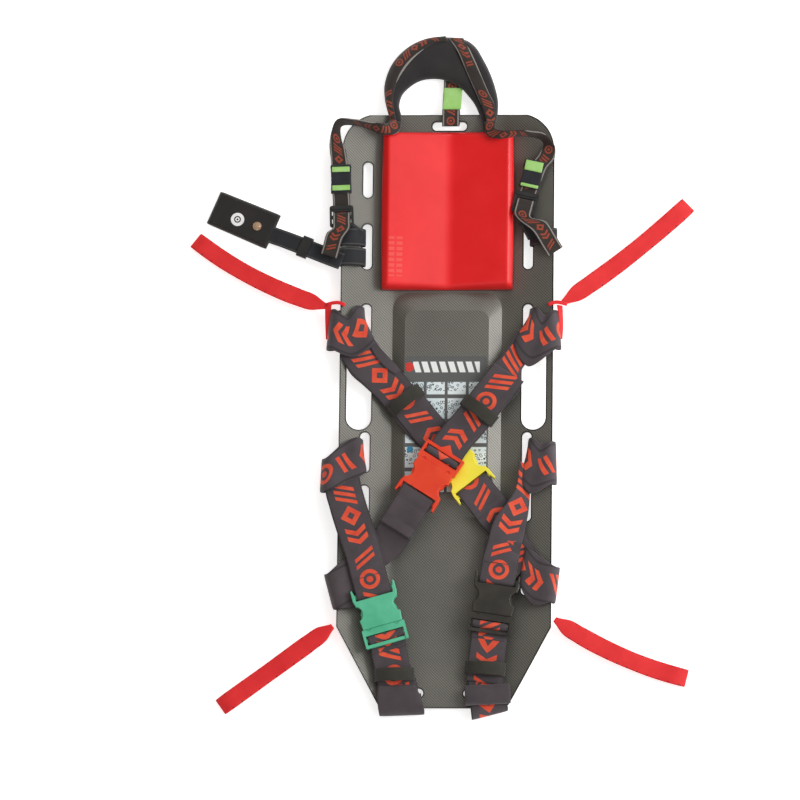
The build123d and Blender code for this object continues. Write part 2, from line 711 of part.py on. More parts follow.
def make_lock(places):
    """Ladder lock: a flat frame with three bars and a raised thumb lip."""
    plane = lock_plane(places)
    with BuildPart() as lock:
        with BuildSketch(plane):
            with Locations((1, 0)):
                RectangleRounded(30, 33, 3)
            with Locations((5.25, 0)):
                Rectangle(5.5, 27, mode=Mode.SUBTRACT)
            with Locations((-5.75, 0)):
                Rectangle(6.5, 27, mode=Mode.SUBTRACT)
        extrude(amount=LOCK_THICKNESS / 2, both=True)
        with BuildSketch(plane.offset(LOCK_THICKNESS / 2)):
            with Locations((13.5, 0)):
                RectangleRounded(5, 28, 2)
        extrude(amount=2)
    return lock.part


def sleeve_middle(places):
    """Middle of the elastic sleeve, and a point further along the web."""
    (x_a, y_a), (x_b, y_b) = places["corner"], places["lock"]
    share = places["sleeve"]
    here = (x_a + (x_b - x_a) * share, y_a + (y_b - y_a) * share, SIDE_WEB_Z)
    return here, (x_b, y_b, SIDE_WEB_Z)


def make_sleeve(places):
    """Elastic sleeve that covers the stitched joint of the web."""
    here, ahead = sleeve_middle(places)
    with BuildPart() as sleeve:
        band(along_plane(here, ahead), SMALL_WEB_WIDTH + 0.8, WEB_THICKNESS + 0.8, SLEEVE_WALL, 40)
    return sleeve.part


def make_stripes(places, marks):
    """Green tabs sewn on the sleeve; marks are (distance from its middle, length)."""
    here, ahead = sleeve_middle(places)
    direction = (Vector(*ahead) - Vector(*here)).normalized()
    top = SIDE_WEB_Z + WEB_THICKNESS / 2 + 0.4 + SLEEVE_WALL + 0.6
    with BuildPart() as stripes:
        for distance, length in marks:
            start = Vector(*here) + direction * (distance - length / 2)
            end = Vector(*here) + direction * (distance + length / 2)
            flat_run((start.X, start.Y), (end.X, end.Y), top, SMALL_WEB_WIDTH, 1.1)
    return stripes.part


for side, name, marks, loop_y in (
    (-1, "left", ((-13, 7), (13, 7)), 242),
    (1, "right", ((-11, 14), (17, 4)), 242),
):
    places = SIDES[name]
    save(make_upper_web(places), f"{name}_side_web")
    save(make_lower_web(side, places, loop_y), f"{name}_slot_web")
    save(make_lock(places), f"{name}_ladder_lock")
    save(make_sleeve(places), f"{name}_web_sleeve")
    save(make_stripes(places, marks), f"{name}_green_tabs")

# ---------------------------------------------------------------- head strap tab
TAB_ROOT = (-158, 212)
TAB_BEND = (-246, 249)
TAB_ROOT_Z = 19
TAB_FLAP_Z = 6.2
FLAP_MIDDLE = (-284, 269)
FLAP_SIZE = (88, 48, 6)
FLAP_ANGLE = 157

with BuildPart() as tab_loop:
    flange_loop(-1, 214.5, SMALL_WEB_WIDTH, SLOT_WEB_TOP_GAP)
save(tab_loop.part, "tab_loop")

tab_heights = ((0, TAB_ROOT_Z), (0.12, TAB_ROOT_Z), (1, TAB_FLAP_Z + 4.5))
with BuildPart() as tab_strap:
    run(TAB_ROOT, TAB_BEND, tab_heights, width=SMALL_WEB_WIDTH, bend=20)
save(tab_strap.part, "tab_strap")

flap_plane = Plane(
    origin=(*FLAP_MIDDLE, TAB_FLAP_Z - FLAP_SIZE[2] / 2),
    x_dir=(cos(radians(FLAP_ANGLE)), sin(radians(FLAP_ANGLE)), 0),
    z_dir=(0, 0, 1),
)
with BuildPart() as tab_flap:
    with BuildSketch(flap_plane):
        RectangleRounded(FLAP_SIZE[0], FLAP_SIZE[1], 4)
    extrude(amount=FLAP_SIZE[2] / 2, both=True)
save(tab_flap.part, "tab_flap")

flap_top = flap_plane.offset(FLAP_SIZE[2] / 2)
with BuildPart() as tab_disc:
    with BuildSketch(flap_top):
        with Locations((8.4, 2.4)):
            Circle(9.3)
    extrude(amount=0.5)
save(tab_disc.part, "tab_disc")

with BuildPart() as tab_snap:
    with BuildSketch(flap_top):
        with Locations((-20.7, 0.6)):
            Circle(6)
    extrude(amount=1.2)
    with BuildSketch(flap_top.offset(1.2)):
        with Locations((-20.7, 0.6)):
            Circle(4.2)
    extrude(amount=1.2, taper=25)
save(tab_snap.part, "tab_snap")

slider_here = point_on_run(TAB_ROOT, TAB_BEND, tab_heights, 0.45)
slider_ahead = point_on_run(TAB_ROOT, TAB_BEND, tab_heights, 0.55)
with BuildPart() as tab_slider:
    band(along_plane(slider_here, slider_ahead), SMALL_WEB_WIDTH + 1, WEB_THICKNESS + 1.2, 2, 14)
save(tab_slider.part, "tab_slider")
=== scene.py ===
from math import atan2, ceil, cos, degrees, pi, radians, sin

import bpy
import numpy as np
from mathutils import Matrix, Vector


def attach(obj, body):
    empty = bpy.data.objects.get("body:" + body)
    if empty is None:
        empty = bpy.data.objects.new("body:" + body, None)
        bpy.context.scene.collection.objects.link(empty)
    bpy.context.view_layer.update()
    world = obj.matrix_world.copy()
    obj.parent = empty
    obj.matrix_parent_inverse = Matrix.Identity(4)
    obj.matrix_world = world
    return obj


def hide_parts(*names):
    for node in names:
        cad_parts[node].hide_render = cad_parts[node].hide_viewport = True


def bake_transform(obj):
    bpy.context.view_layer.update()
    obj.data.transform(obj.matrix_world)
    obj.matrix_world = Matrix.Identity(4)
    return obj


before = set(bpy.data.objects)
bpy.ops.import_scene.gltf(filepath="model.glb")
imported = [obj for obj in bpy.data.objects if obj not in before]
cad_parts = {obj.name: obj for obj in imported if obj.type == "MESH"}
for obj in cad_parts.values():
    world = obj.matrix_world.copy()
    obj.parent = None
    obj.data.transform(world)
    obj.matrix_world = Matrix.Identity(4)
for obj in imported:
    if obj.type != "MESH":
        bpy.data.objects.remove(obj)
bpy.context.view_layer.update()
scene = bpy.context.scene

# Rescue stretcher: soft goods, materials, light and camera around the CAD frame.
# Shapes are worked out in millimetres in the row frame and written to meshes in metres.
MM = 0.001

HARNESS_WIDTH = 50
HARNESS_THICKNESS = 2.2
NARROW_WIDTH = 25
NARROW_THICKNESS = 2
LAYER = 2.3                     # from one layer of webbing to the next
FLAT_HALF_WIDTH = 75            # the board's flanges start to rise here
FLANGE_RISE = 0.2126            # and rise this much per millimetre
FLANGE_LEAN = 12                # degrees
BAR_X, BAR_Z = 132.5, 14.7      # middle of the bar between a slot and the board's edge

# each buckle: x, y, z of its mating plane and its angle from socket to tongue
BUCKLES = {
    "red": (-11.5, -81.3, 33.3, 57.6),
    "yellow": (10.3, -69.3, 19.5, 128.0),
    "green": (-82.2, -301.0, 30.0, -74.0),
    "black": (66.7, -285.4, 30.0, -98.5),
}


# ---------------------------------------------------------------- shapes
def through(places, points, samples):
    """Smooth curve through points that stand at the given places, read at the samples."""
    places, points = vec(places), vec(points)
    gaps = np.diff(places)
    slopes = np.diff(points, axis=0) / gaps[:, None]
    tangents = np.vstack([slopes[:1], slopes[-1:]]) if len(points) == 2 else np.vstack([
        slopes[:1],
        (slopes[:-1] * gaps[1:, None] + slopes[1:] * gaps[:-1, None]) / (gaps[:-1] + gaps[1:])[:, None],
        slopes[-1:],
    ])
    samples = vec(samples)
    here = np.clip(np.searchsorted(places, samples, "right") - 1, 0, len(gaps) - 1)
    gap = gaps[here][:, None]
    t = ((samples - places[here]) / gaps[here])[:, None]
    return (
        (2 * t**3 - 3 * t**2 + 1) * points[here]
        + (t**3 - 2 * t**2 + t) * gap * tangents[here]
        + (3 * t**2 - 2 * t**3) * points[here + 1]
        + (t**3 - t**2) * gap * tangents[here + 1]
    )


def vec(values):
    return np.array(values, float)


def unit(vectors):
    """Vectors of length one, row by row."""
    return vectors / np.maximum(np.linalg.norm(vectors, axis=-1, keepdims=True), 1e-9)


class Shape:
    """Points, faces and flat coordinates of one piece, in millimetres."""

    def __init__(self):
        self.points, self.faces, self.flat = [], [], []

    def rings(self, rings, flat, closed=False):
        """Skin over rings of equally many points; flat holds each point's (along, across)."""
        first = len(self.points)
        count, size = rings.shape[:2]
        self.points.extend(map(tuple, rings.reshape(-1, 3)))
        self.flat.extend(map(tuple, flat.reshape(-1, 2)))
        for row in range(count if closed else count - 1):
            a, b = first + row * size, first + (row + 1) % count * size
            for k in range(size):
                n = (k + 1) % size
                self.faces.append((a + k, b + k, b + n, a + n))
        if not closed:
            half = size // 2
            for start, flip in ((first, False), (first + (count - 1) * size, True)):
                for k in range(half - 1):
                    cap = (start + k, start + k + 1, start + size - 2 - k, start + size - 1 - k)
                    self.faces.append(cap[::-1] if flip else cap)

    def rings_closed_ends(self, rings, flat):
        """Skin over round rings, open at both ends, turned in a little so that they show a wall."""
        middle = rings.mean(axis=1, keepdims=True)
        inner = middle + (rings - middle) * (0.93, 0.93, 0.62)
        self.rings(np.concatenate([rings, inner[::-1]]), np.concatenate([flat, flat[::-1]]), True)
        return self

    def ribbon(
        self, stations, thickness=HARNESS_THICKNESS, along=0.0, closed=False, wave=0.0, step=3.0, bow=0.0,
        plain=False,
    ):
        """Webbing between two edges; stations are (left point, right point) on the way.

        A plain one lies outside the printed marks' strip."""
        if closed:
            stations = [*stations, stations[0]]
        left, right = (vec([s[side] for s in stations]) for side in (0, 1))
        gaps = np.maximum(np.linalg.norm(np.diff((left + right) / 2, axis=0), axis=1), 0.05)
        places = np.concatenate([[0], np.cumsum(gaps)])
        samples = []
        for place, gap in zip(places, gaps):
            parts = max(4, ceil(gap / step))
            samples += [place + gap * part / parts for part in range(parts)]
        if not closed:
            samples.append(places[-1])
        if closed:
            places = np.concatenate([[places[-2] - places[-1]], places, [places[-1] + gaps[0]]])
            left = np.vstack([left[-2], left, left[1]])
            right = np.vstack([right[-2], right, right[1]])
        left, right = through(places, left, samples), through(places, right, samples)
        middle = (left + right) / 2
        ahead = np.roll(middle, -1, 0) - np.roll(middle, 1, 0)
        if not closed:
            ahead[0], ahead[-1] = middle[1] - middle[0], middle[-1] - middle[-2]
        normal = unit(np.cross(right - left, ahead))
        width = np.linalg.norm(right - left, axis=1)
        share = np.linspace(0, 1, 11)
        share = np.concatenate([[0, 0.03], share[1:-1], [0.97, 1]])
        bulge = thickness / 2 * (1 - 0.5 * np.abs(2 * share - 1) ** 14)
        run = along + vec(samples)
        ripple = wave * (
            np.sin(run[:, None] / 11 + share[None] * 3)
            + 0.7 * np.sin(run[:, None] / 6.3 - share[None] * 5 + 1)
        )
        base = left[:, None] + (right - left)[:, None] * share[None, :, None]
        ripple = ripple + bow * 4 * share * (1 - share)
        base = base + normal[:, None] * ripple[..., None]
        upper = base + normal[:, None] * bulge[None, :, None]
        lower = base - normal[:, None] * bulge[None, :, None]
        cross = (share[None] - 0.5) * width[:, None] + (100 if plain else 0)
        lengths = np.repeat(run[:, None], len(share), 1)
        flat = np.stack([lengths, cross], -1)
        self.rings(
            np.concatenate([upper, lower[:, ::-1]], 1),
            np.concatenate([flat, flat[:, ::-1]], 1),
            closed,
        )
        return self

    def dome(self, outline_rows, low, high, thick_edge=0.25, power=5.0):
        """Padded form: rows of points across it, flat underneath, crowned on top.

        low and high give the bottom and the top height of a point (x, y)."""
        rows = vec(outline_rows)
        count, size = rows.shape[:2]
        across = np.abs(np.linspace(-1, 1, size))
        length = np.abs(np.linspace(-1, 1, count))
        fall = (1 - across**power)[None] * (1 - length ** (power * 2))[:, None]
        fall = thick_edge + (1 - thick_edge) * np.sqrt(np.maximum(fall, 0))
        bottom = vec([[low(*p) for p in row] for row in rows])
        top = vec([[high(*p) for p in row] for row in rows])
        upper = np.dstack([rows, bottom + (top - bottom) * fall])
        lower = np.dstack([rows, bottom])
        self.rings(np.concatenate([upper, lower[:, ::-1]], 1), np.concatenate([rows, rows[:, ::-1]], 1))
        return self

    def piece(self, name, material):
        """The finished object, in metres, with its flat coordinates in metres as UV."""
        mesh = bpy.data.meshes.new(name)
        mesh.from_pydata([tuple(c * MM for c in p) for p in self.points], [], self.faces)
        layer = mesh.uv_layers.new(name="flat")
        for loop in mesh.loops:
            layer.data[loop.index].uv = [c * MM for c in self.flat[loop.vertex_index]]
        mesh.validate()
        mesh.shade_smooth()
        mesh.materials.append(material)
        obj = bpy.data.objects.new(name, mesh)
        scene.collection.objects.link(obj)
        return obj


def on_buckle(name, a, rise=0.0):
    """Point on a buckle's long axis, a from its mating plane."""
    x, y, z, angle = BUCKLES[name]
    return (x + a * cos(radians(angle)), y + a * sin(radians(angle)), z + rise)


def to_right(way, length):
    """Level vector of this length to the right of the way."""
    return vec([way[1], -way[0], 0]) / np.linalg.norm(way[:2]) * length


def level_width(angle, width):
    """Half the width, as a level vector to the right of the direction angle."""
    return to_right((cos(radians(angle)), sin(radians(angle))), width / 2)


def stations(points, half):
    """Stations of webbing along centre points, with one level half width all the way."""
    return [(tuple(vec(p) - half), tuple(vec(p) + half)) for p in points]


def along_path(points, width):
    """Stations of webbing along centre points (x, y, z), level across the way it runs."""
    middle = vec(points)
    ahead = np.gradient(middle[:, :2], axis=0)
    ahead = unit(ahead)
    half = np.stack([ahead[:, 1], -ahead[:, 0], np.zeros(len(ahead))], 1) * width / 2
    return [(tuple(p - h), tuple(p + h)) for p, h in zip(middle, half)]


def hoop(origin, direction, half_width, half_height, width, lift=(0, 0, 1)):
    """Closed stations round a flat bar; direction is level, from the bar's middle to its edge."""
    origin, out, lift = vec(origin), unit(vec(direction)), vec(lift)
    side = np.cross(lift, out) * width / 2
    corner = min(half_height, half_width) * 0.55
    shape = []
    for sx, sz in ((1, 1), (1, -1), (-1, -1), (-1, 1)):
        first, second = (corner, 0), (0, corner)
        order = (first, second) if sx * sz > 0 else (second, first)
        shape += [(sx * (half_width - dx), sz * (half_height - dz)) for dx, dz in order]
    middle = [origin + out * dx + lift * dz for dx, dz in shape]
    return [(tuple(p - side), tuple(p + side)) for p in middle]


# ---------------------------------------------------------------- material nodes
class Look:
    """A node material: a Principled shader with helpers for procedural patterns."""

    def __init__(self, name, coordinates="UV", **settings):
        self.material = bpy.data.materials.new(name)
        self.material.use_nodes = True
        self.tree = self.material.node_tree
        self.shader = self.tree.nodes["Principled BSDF"]
        self.coordinates = self.tree.nodes.new("ShaderNodeTexCoord").outputs[coordinates]
        for key, value in settings.items():
            self.shader.inputs[key.replace("_", " ")].default_value = value
        split = self.tree.nodes.new("ShaderNodeSeparateXYZ")
        self.tree.links.new(self.coordinates, split.inputs[0])
        self.u, self.v, self.w = split.outputs

    def put(self, value, socket):
        """Links a socket or sets a number or a colour's hex code."""
        if isinstance(value, bpy.types.NodeSocket):
            self.tree.links.new(value, socket)
        else:
            socket.default_value = rgb(value) if isinstance(value, str) else value

    def node(self, kind, inputs, out=0, **settings):
        """The output of a new node with these inputs and settings."""
        node = self.tree.nodes.new(f"ShaderNode{kind}")
        for key, value in settings.items():
            setattr(node, key, value)
        for key, value in inputs.items():
            self.put(value, node.inputs[key])
        return node.outputs[out]

    def math(self, operation, *values):
        return self.node("Math", dict(enumerate(values)), operation=operation)

    def plus(self, a, b):
        return self.math("ADD", a, b)

    def minus(self, a, b):
        return self.math("SUBTRACT", a, b)

    def above(self, a, b):
        return self.math("GREATER_THAN", a, b)

    def below(self, a, b):
        return self.math("LESS_THAN", a, b)

    def size(self, a):
        return self.math("ABSOLUTE", a)

    def mix(self, share, first, second):
        return self.node("Mix", {0: share, 6: first, 7: second}, 2, data_type="RGBA")

    def noise(self, scale, detail=3.0, roughness=0.55):
        inputs = {"Vector": self.coordinates, "Scale": scale, "Detail": detail, "Roughness": roughness}
        return self.node("TexNoise", inputs, "Fac")

    def grain(self, scale):
        return self.node("TexVoronoi", {"Vector": self.coordinates, "Scale": scale}, "Distance")

    def stretch(self, value, *limits):
        """The value's change from low to high, as one from 0 to 1 or between two given numbers."""
        return self.node("MapRange", dict(enumerate((value, *limits))))

    def every(self, value, pitch):
        """0 to 1 over each pitch."""
        return self.math("FRACT", self.math("DIVIDE", value, pitch))

    def ridge(self, value, pitch):
        """Rounded ridges, 0 in the grooves and 1 on top, one per pitch."""
        return self.size(self.math("SINE", self.both(value, pi / pitch)))

    def distance(self, u, v, centre_u, centre_v=0.0):
        du = self.minus(u, centre_u)
        dv = self.minus(v, centre_v)
        return self.math("SQRT", self.plus(self.both(du, du), self.both(dv, dv)))

    def within(self, value, centre, half):
        return self.below(self.size(self.minus(value, centre)), half)

    def both(self, a, b):
        return self.math("MULTIPLY", a, b)

    def either(self, masks):
        total = masks[0]
        for mask in masks[1:]:
            total = self.math("MAXIMUM", total, mask)
        return total

    def disc(self, u, v, centre, radius, hole=0.0, centre_v=0.0):
        d = self.distance(u, v, centre, centre_v)
        disc = self.below(d, radius)
        return self.both(disc, self.above(d, hole)) if hole else disc

    def slant(self, u, v, centre, lean, half_length, half_width):
        leaned = self.plus(u, self.both(v, lean))
        return self.both(self.within(leaned, centre, half_length), self.within(v, 0.0, half_width))

    def diamond(self, u, v, centre, size, hole):
        away = self.size(self.minus(u, centre))
        away = self.plus(away, self.size(v))
        return self.both(self.below(away, size), self.above(away, hole))

    def marks(self, unit_length, tall, period):
        """A row of generic marks: target, hatching, diamond, arrows, hatching the other way."""
        u, v, k = self.both(self.every(self.u, period), period), self.v, unit_length
        return self.either([
            self.disc(u, v, 1.7 * k, tall, tall * 0.62),
            self.disc(u, v, 1.7 * k, tall * 0.32),
            *(self.slant(u, v, c * k, 0.5, 0.27 * k, tall) for c in (4.2, 5.15, 6.1)),
            self.diamond(u, v, 8.4 * k, tall * 1.05, tall * 0.4),
            *(self.slant(u, self.size(v), c * k, 0.55, 0.36 * k, tall) for c in (11.1, 12.3)),
            *(self.slant(u, v, c * k, -0.5, 0.27 * k, tall) for c in (14.2, 15.15)),
        ])

    def colour(self, value):
        self.put(value, self.shader.inputs["Base Color"])

    def done(self, colour, height, distance, strength):
        """Sets the colour and the bump, and gives the finished material."""
        bump = self.node("Bump", {"Height": height, "Distance": distance, "Strength": strength})
        self.put(bump, self.shader.inputs["Normal"])
        self.colour(colour)
        return self.material

    def roughness(self, value):
        self.put(value, self.shader.inputs["Roughness"])


def rgb(code):
    """Linear colour from a hex code."""
    values = [int(code[k:k + 2], 16) / 255 for k in (0, 2, 4)]
    return tuple(v / 12.92 if v <= 0.04045 else ((v + 0.055) / 1.055) ** 2.4 for v in values) + (1.0,)


def shaded(look, dark, light, scale=30.0):
    """Cloudy change between two shades of one colour."""
    return look.mix(look.stretch(look.noise(scale), 0.3, 0.7), dark, light)


def paint_groove_shade(look, base, pattern, low, high, depth, groove_shade):
    """The base colour with painted shade: darker in the grooves of a pattern, where shade would fall."""
    return look.mix(look.stretch(pattern, low, high, depth, 0.0), base, groove_shade)


def woven(look, rib, pick):
    """Height of ribs that run along and picks that run across."""
    ribs, picks = look.ridge(look.v, rib), look.ridge(look.u, pick)
    return look.plus(look.both(ribs, 0.7), look.both(picks, 0.3))


def webbing_look(name, dark, light, ink=None, rib=0.0011, half_width=0.025):
    """Woven strap: ribs along it, picks across it, darker selvages and an optional print."""
    look = Look(name, Roughness=0.72, Sheen_Weight=0.25, Sheen_Roughness=0.5)
    weave = woven(look, rib, rib * 0.8)
    base = shaded(look, dark, light, 22.0)
    # painted shade: the weave's grooves are darkened towards near black
    base = paint_groove_shade(look, base, weave, 0.2, 1.0, 0.35, "181315")
    if ink:
        marks = look.marks(0.0098, half_width * 0.56, PRINT_PERIOD)
        worn = look.above(look.noise(900.0, 2.0), 0.3)
        base = look.mix(look.both(marks, worn), base, shaded(look, *ink, 60.0))
    selvage = look.within(look.size(look.v), half_width, half_width * 0.07)
    colour = look.mix(look.both(selvage, 0.6), base, "1d1819")
    return look.done(colour, look.plus(weave, look.both(look.noise(60.0), 0.6)), 0.00035, 0.6)


PRINT_PERIOD = 0.158            # the printed marks repeat


def elastic_look(name, dark, light):
    look = Look(name, Roughness=0.85, Sheen_Weight=0.2)
    ribs = look.ridge(look.u, 0.0014)
    base = shaded(look, dark, light, 40.0)
    # painted shade: the grooves between the ribs are darkened
    colour = paint_groove_shade(look, base, ribs, 0.0, 0.7, 0.45, "0c0b09")
    return look.done(colour, look.plus(ribs, look.both(look.ridge(look.v, 0.0008), 0.4)), 0.0004, 0.7)


def plastic_look(name, dark, light, rough=0.34):
    """Moulded plastic: fine spark-eroded grain, and faint rubbed patches."""
    look = Look(name, "Object", Roughness=rough, Coat_Weight=0.15, Coat_Roughness=0.3)
    colour = shaded(look, dark, light, 25.0)
    look.roughness(look.stretch(look.noise(70.0), 0.35, 0.7, rough - 0.06, rough + 0.12))
    return look.done(colour, look.plus(look.grain(2600.0), look.both(look.noise(400.0), 0.5)), 0.00008, 0.5)


def carbon_look():
    """Two-by-two twill under clear resin, with painted reflection and shade: a lighter and a darker copy of
    one grey for the tows on top and underneath, darker grooves between the tows, and a near-black line at
    every cut edge.
    """
    look = Look("carbon", "Object", Metallic=0.5, Coat_Weight=0.25, Coat_Roughness=0.3)
    tow = 0.00098
    columns = look.math("FLOOR", look.math("DIVIDE", look.u, tow))
    rows = look.math("FLOOR", look.math("DIVIDE", look.v, tow))
    count = look.plus(look.plus(columns, rows), 4000.0)
    over = look.below(look.math("MODULO", count, 4.0), 1.5)
    upright, level = look.ridge(look.u, tow), look.ridge(look.v, tow)
    crown = look.plus(look.both(over, upright), look.both(look.minus(1.0, over), level))
    cloud = look.stretch(look.noise(9.0, 2.0), 0.3, 0.7)
    # painted reflection: tows on top get a lighter copy and tows underneath a darker copy of one grey,
    # standing in for how each reflects the light
    painted_sheen_grey = look.mix(cloud, "7c7a73", "8b8981")
    painted_shade_grey = look.mix(cloud, "5b5952", "68665e")
    woven = look.mix(over, painted_shade_grey, painted_sheen_grey)
    # painted shade: the grooves between the rounded tows are darkened
    woven = paint_groove_shade(look, woven, crown, 0.0, 0.8, 0.45, "2f2e2a")
    # painted shade: a near-black line round the outline, the slots and the hand holes stands in for their
    # shaded edge walls
    edge = look.both(board_edge_shade(look), 0.93)
    colour = look.mix(edge, woven, "0d0d0c")
    look.roughness(look.stretch(over, 0.0, 1.0, 0.42, 0.3))
    return look.done(colour, crown, 0.00025, 0.35)


SLOT_X, SLOT_RADIUS = 0.1115, 0.0065
# middle and half length of each slot on a side
SLOT_ENDS = (
    (0.324, 0.0185), (0.230, 0.0255), (0.120, 0.0225), (-0.058, 0.0215), (-0.129, 0.0185), (-0.227, 0.0225),
)
DARK_LINE = 0.0016


def board_edge_shade(look):
    """Mask of the painted shade line round the board's outline, its slots and its hand holes."""
    side = look.size(look.u)

    def slot_line(centre_u, centre_v, half, radius, across=False):
        du = look.size(look.minus(side if centre_u > 0.01 else look.u, centre_u))
        dv = look.size(look.minus(look.v, centre_v))
        long, short = (du, dv) if across else (dv, du)
        past = look.math("MAXIMUM", look.minus(long, half), 0.0)
        d = look.math("SQRT", look.plus(look.both(past, past), look.both(short, short)))
        return look.below(d, radius + DARK_LINE)

    lines = [slot_line(SLOT_X, y, half, SLOT_RADIUS) for y, half in SLOT_ENDS]
    lines.append(slot_line(0.1205, 0.0305, 0.0405, 0.017))
    lines.append(slot_line(0.0575, -0.391, 0.0235, SLOT_RADIUS, True))
    lines.append(slot_line(0.001, 0.400, 0.018, 0.006, True))
    lines.append(look.above(side, 0.147 - DARK_LINE))
    lines.append(look.above(look.v, 0.416 - DARK_LINE))
    lines.append(look.below(look.v, DARK_LINE - 0.412))
    x, y = 0.095, 0.364
    corner = look.distance(look.math("MAXIMUM", side, x), look.math("MAXIMUM", look.v, y), x, y)
    lines.append(look.above(corner, 0.052 - DARK_LINE))
    taper = look.minus(look.both(look.minus(side, 0.147), 0.8797),
                      look.both(look.plus(look.v, 0.301), 0.4755))
    lines.append(look.above(taper, -DARK_LINE))
    return look.either(lines)


def label_look():
    """Instruction label: generic panels with plain line pictograms on dark grey."""
    look = Look("label", "Object", Roughness=0.38, Coat_Weight=0.3, Coat_Roughness=0.2)
    across, up = look.u, look.plus(look.v, 0.02)
    column = look.every(look.plus(across, 0.058), 0.029)
    row = look.every(look.plus(up, 0.096), 0.034)
    panel = look.both(look.within(column, 0.5, 0.43), look.within(row, 0.5, 0.42))
    lower = look.below(up, 0.06)
    pictures = look.grain(210.0)
    drawn = look.both(look.within(pictures, 0.36, 0.07), look.within(row, 0.52, 0.3))
    picture = look.mix(drawn, shaded(look, "cfe0e4", "eef4f4", 50.0), "3d474b")
    base = look.mix(look.both(panel, lower), "5c5d5c", picture)
    stripe = look.both(look.within(up, 0.081, 0.0075), look.within(across, 0.0, 0.046))
    breaks = look.above(look.every(look.plus(across, look.both(up, 0.3)), 0.0122), 0.32)
    base = look.mix(look.both(stripe, breaks), base, "f4f4f2")
    base = look.mix(look.disc(across, up, -0.0515, 0.0065, 0.0, 0.081), base, "d8352c")
    base = look.mix(look.disc(across, up, -0.049, 0.0045, 0.0, -0.034), base, "2f8fb5")
    return look.done(base, look.noise(500.0), 0.00005, 0.3)


def pad_look():
    look = Look("pad_red", "Object", Roughness=0.42, Coat_Weight=0.12, Coat_Roughness=0.35)
    base = shaded(look, "ea1519", "f62023", 14.0)
    bars = look.both(look.within(look.u, -0.071, 0.0095), look.within(look.v, 0.213, 0.028))
    strokes = look.above(look.every(look.v, 0.0078), 0.42)
    gaps = look.above(look.size(look.plus(look.u, 0.071)), 0.0014)
    raised_highlit = look.both(look.both(bars, strokes), gaps)
    # painted highlight: the raised strokes are mixed towards a lighter red, as if their tops caught the
    # light
    colour = look.mix(look.both(raised_highlit, 0.75), base, "f4544a")
    grain = look.plus(look.both(look.grain(900.0), 0.5), look.noise(260.0))
    look.roughness(look.stretch(look.noise(18.0), 0.3, 0.7, 0.3, 0.44))
    return look.done(colour, look.plus(grain, look.both(raised_highlit, 2.0)), 0.00022, 0.5)


def cloth_look(name, dark, light, weave=0.0009, rough=0.85, sheen=0.35):
    """Plain woven or knitted cloth."""
    look = Look(name, "Object", Roughness=rough, Sheen_Weight=sheen, Sheen_Roughness=0.5)
    across, up = look.ridge(look.u, weave), look.ridge(look.v, weave)
    base = shaded(look, dark, light, 35.0)
    threads = look.both(across, up)
    # painted shade: the gaps between the threads are darkened
    colour = paint_groove_shade(look, base, threads, 0.0, 0.6, 0.4, "0d0b0b")
    return look.done(colour, look.plus(threads, look.both(look.noise(120.0), 0.8)), 0.0003, 0.6)


def handle_look():
    """Red webbing with rows of small black bar tacks near its edges."""
    look = Look("handle_webbing", Roughness=0.6, Sheen_Weight=0.1, Sheen_Roughness=0.4)
    weave = woven(look, 0.0013, 0.001)
    base = shaded(look, "ef1a20", "ff2c2e", 26.0)
    # painted shade: the weave's grooves are darkened to a deep red
    base = paint_groove_shade(look, base, weave, 0.2, 1.0, 0.3, "a30e15")
    edge = look.within(look.size(look.v), 0.0112, 0.0009)
    stitch = look.both(edge, look.below(look.every(look.u, 0.0145), 0.1))
    colour = look.mix(stitch, base, "22090b")
    return look.done(colour, look.plus(weave, look.both(look.noise(60.0), 0.5)), 0.0004, 0.6)


def narrow_look(name, dark, light, printed):
    """Narrow dark webbing; the printed one has grey edge lines and generic orange marks."""
    look = Look(name, Roughness=0.75, Sheen_Weight=0.2)
    ribs = look.ridge(look.v, 0.0012)
    base = shaded(look, dark, light, 30.0)
    # painted shade: the grooves between the ribs are darkened
    base = paint_groove_shade(look, base, ribs, 0.0, 0.8, 0.4, "110e0e")
    lines = look.within(look.size(look.v), 0.0101, 0.0009)
    base = look.mix(look.both(lines, 0.85 if printed else 0.15), base, "9a948f")
    if printed:
        marks = look.marks(0.0044, 0.0058, 0.105)
        base = look.mix(look.both(marks, 0.75), base, "ad4527")
    return look.done(base, look.plus(ribs, look.both(look.ridge(look.u, 0.001), 0.4)), 0.0003, 0.6)


def tape_look():
    look = Look("hook_tape", "Object", Roughness=0.95, Sheen_Weight=0.3)
    hooks = look.grain(1300.0)
    colour = look.mix(look.stretch(hooks, 0.0, 0.6), "101010", "2e2d2c")
    return look.done(colour, hooks, 0.0006, 0.8)


def disc_look():
    """White badge with a plain ring and dot."""
    look = Look("disc_white", "Object", Roughness=0.4, Coat_Weight=0.3)
    x, y = -0.2927, 0.2701
    u, v = look.minus(look.u, x), look.minus(look.v, y)
    marks = look.either([look.disc(u, v, 0.0, 0.0048, 0.0031), look.disc(u, v, 0.0, 0.0014)])
    colour = look.mix(marks, shaded(look, "eeeceb", "fbfaf8", 80.0), "1c1c1c")
    return look.done(colour, look.noise(600.0), 0.00004, 0.4)


def brass_look():
    look = Look("snap_brass", "Object", Metallic=0.9, Roughness=0.3)
    colour = shaded(look, "c9a27c", "e8cdb0", 160.0)
    look.roughness(look.stretch(look.noise(300.0), 0.3, 0.7, 0.22, 0.4))
    return look.done(colour, look.noise(800.0), 0.00004, 0.4)


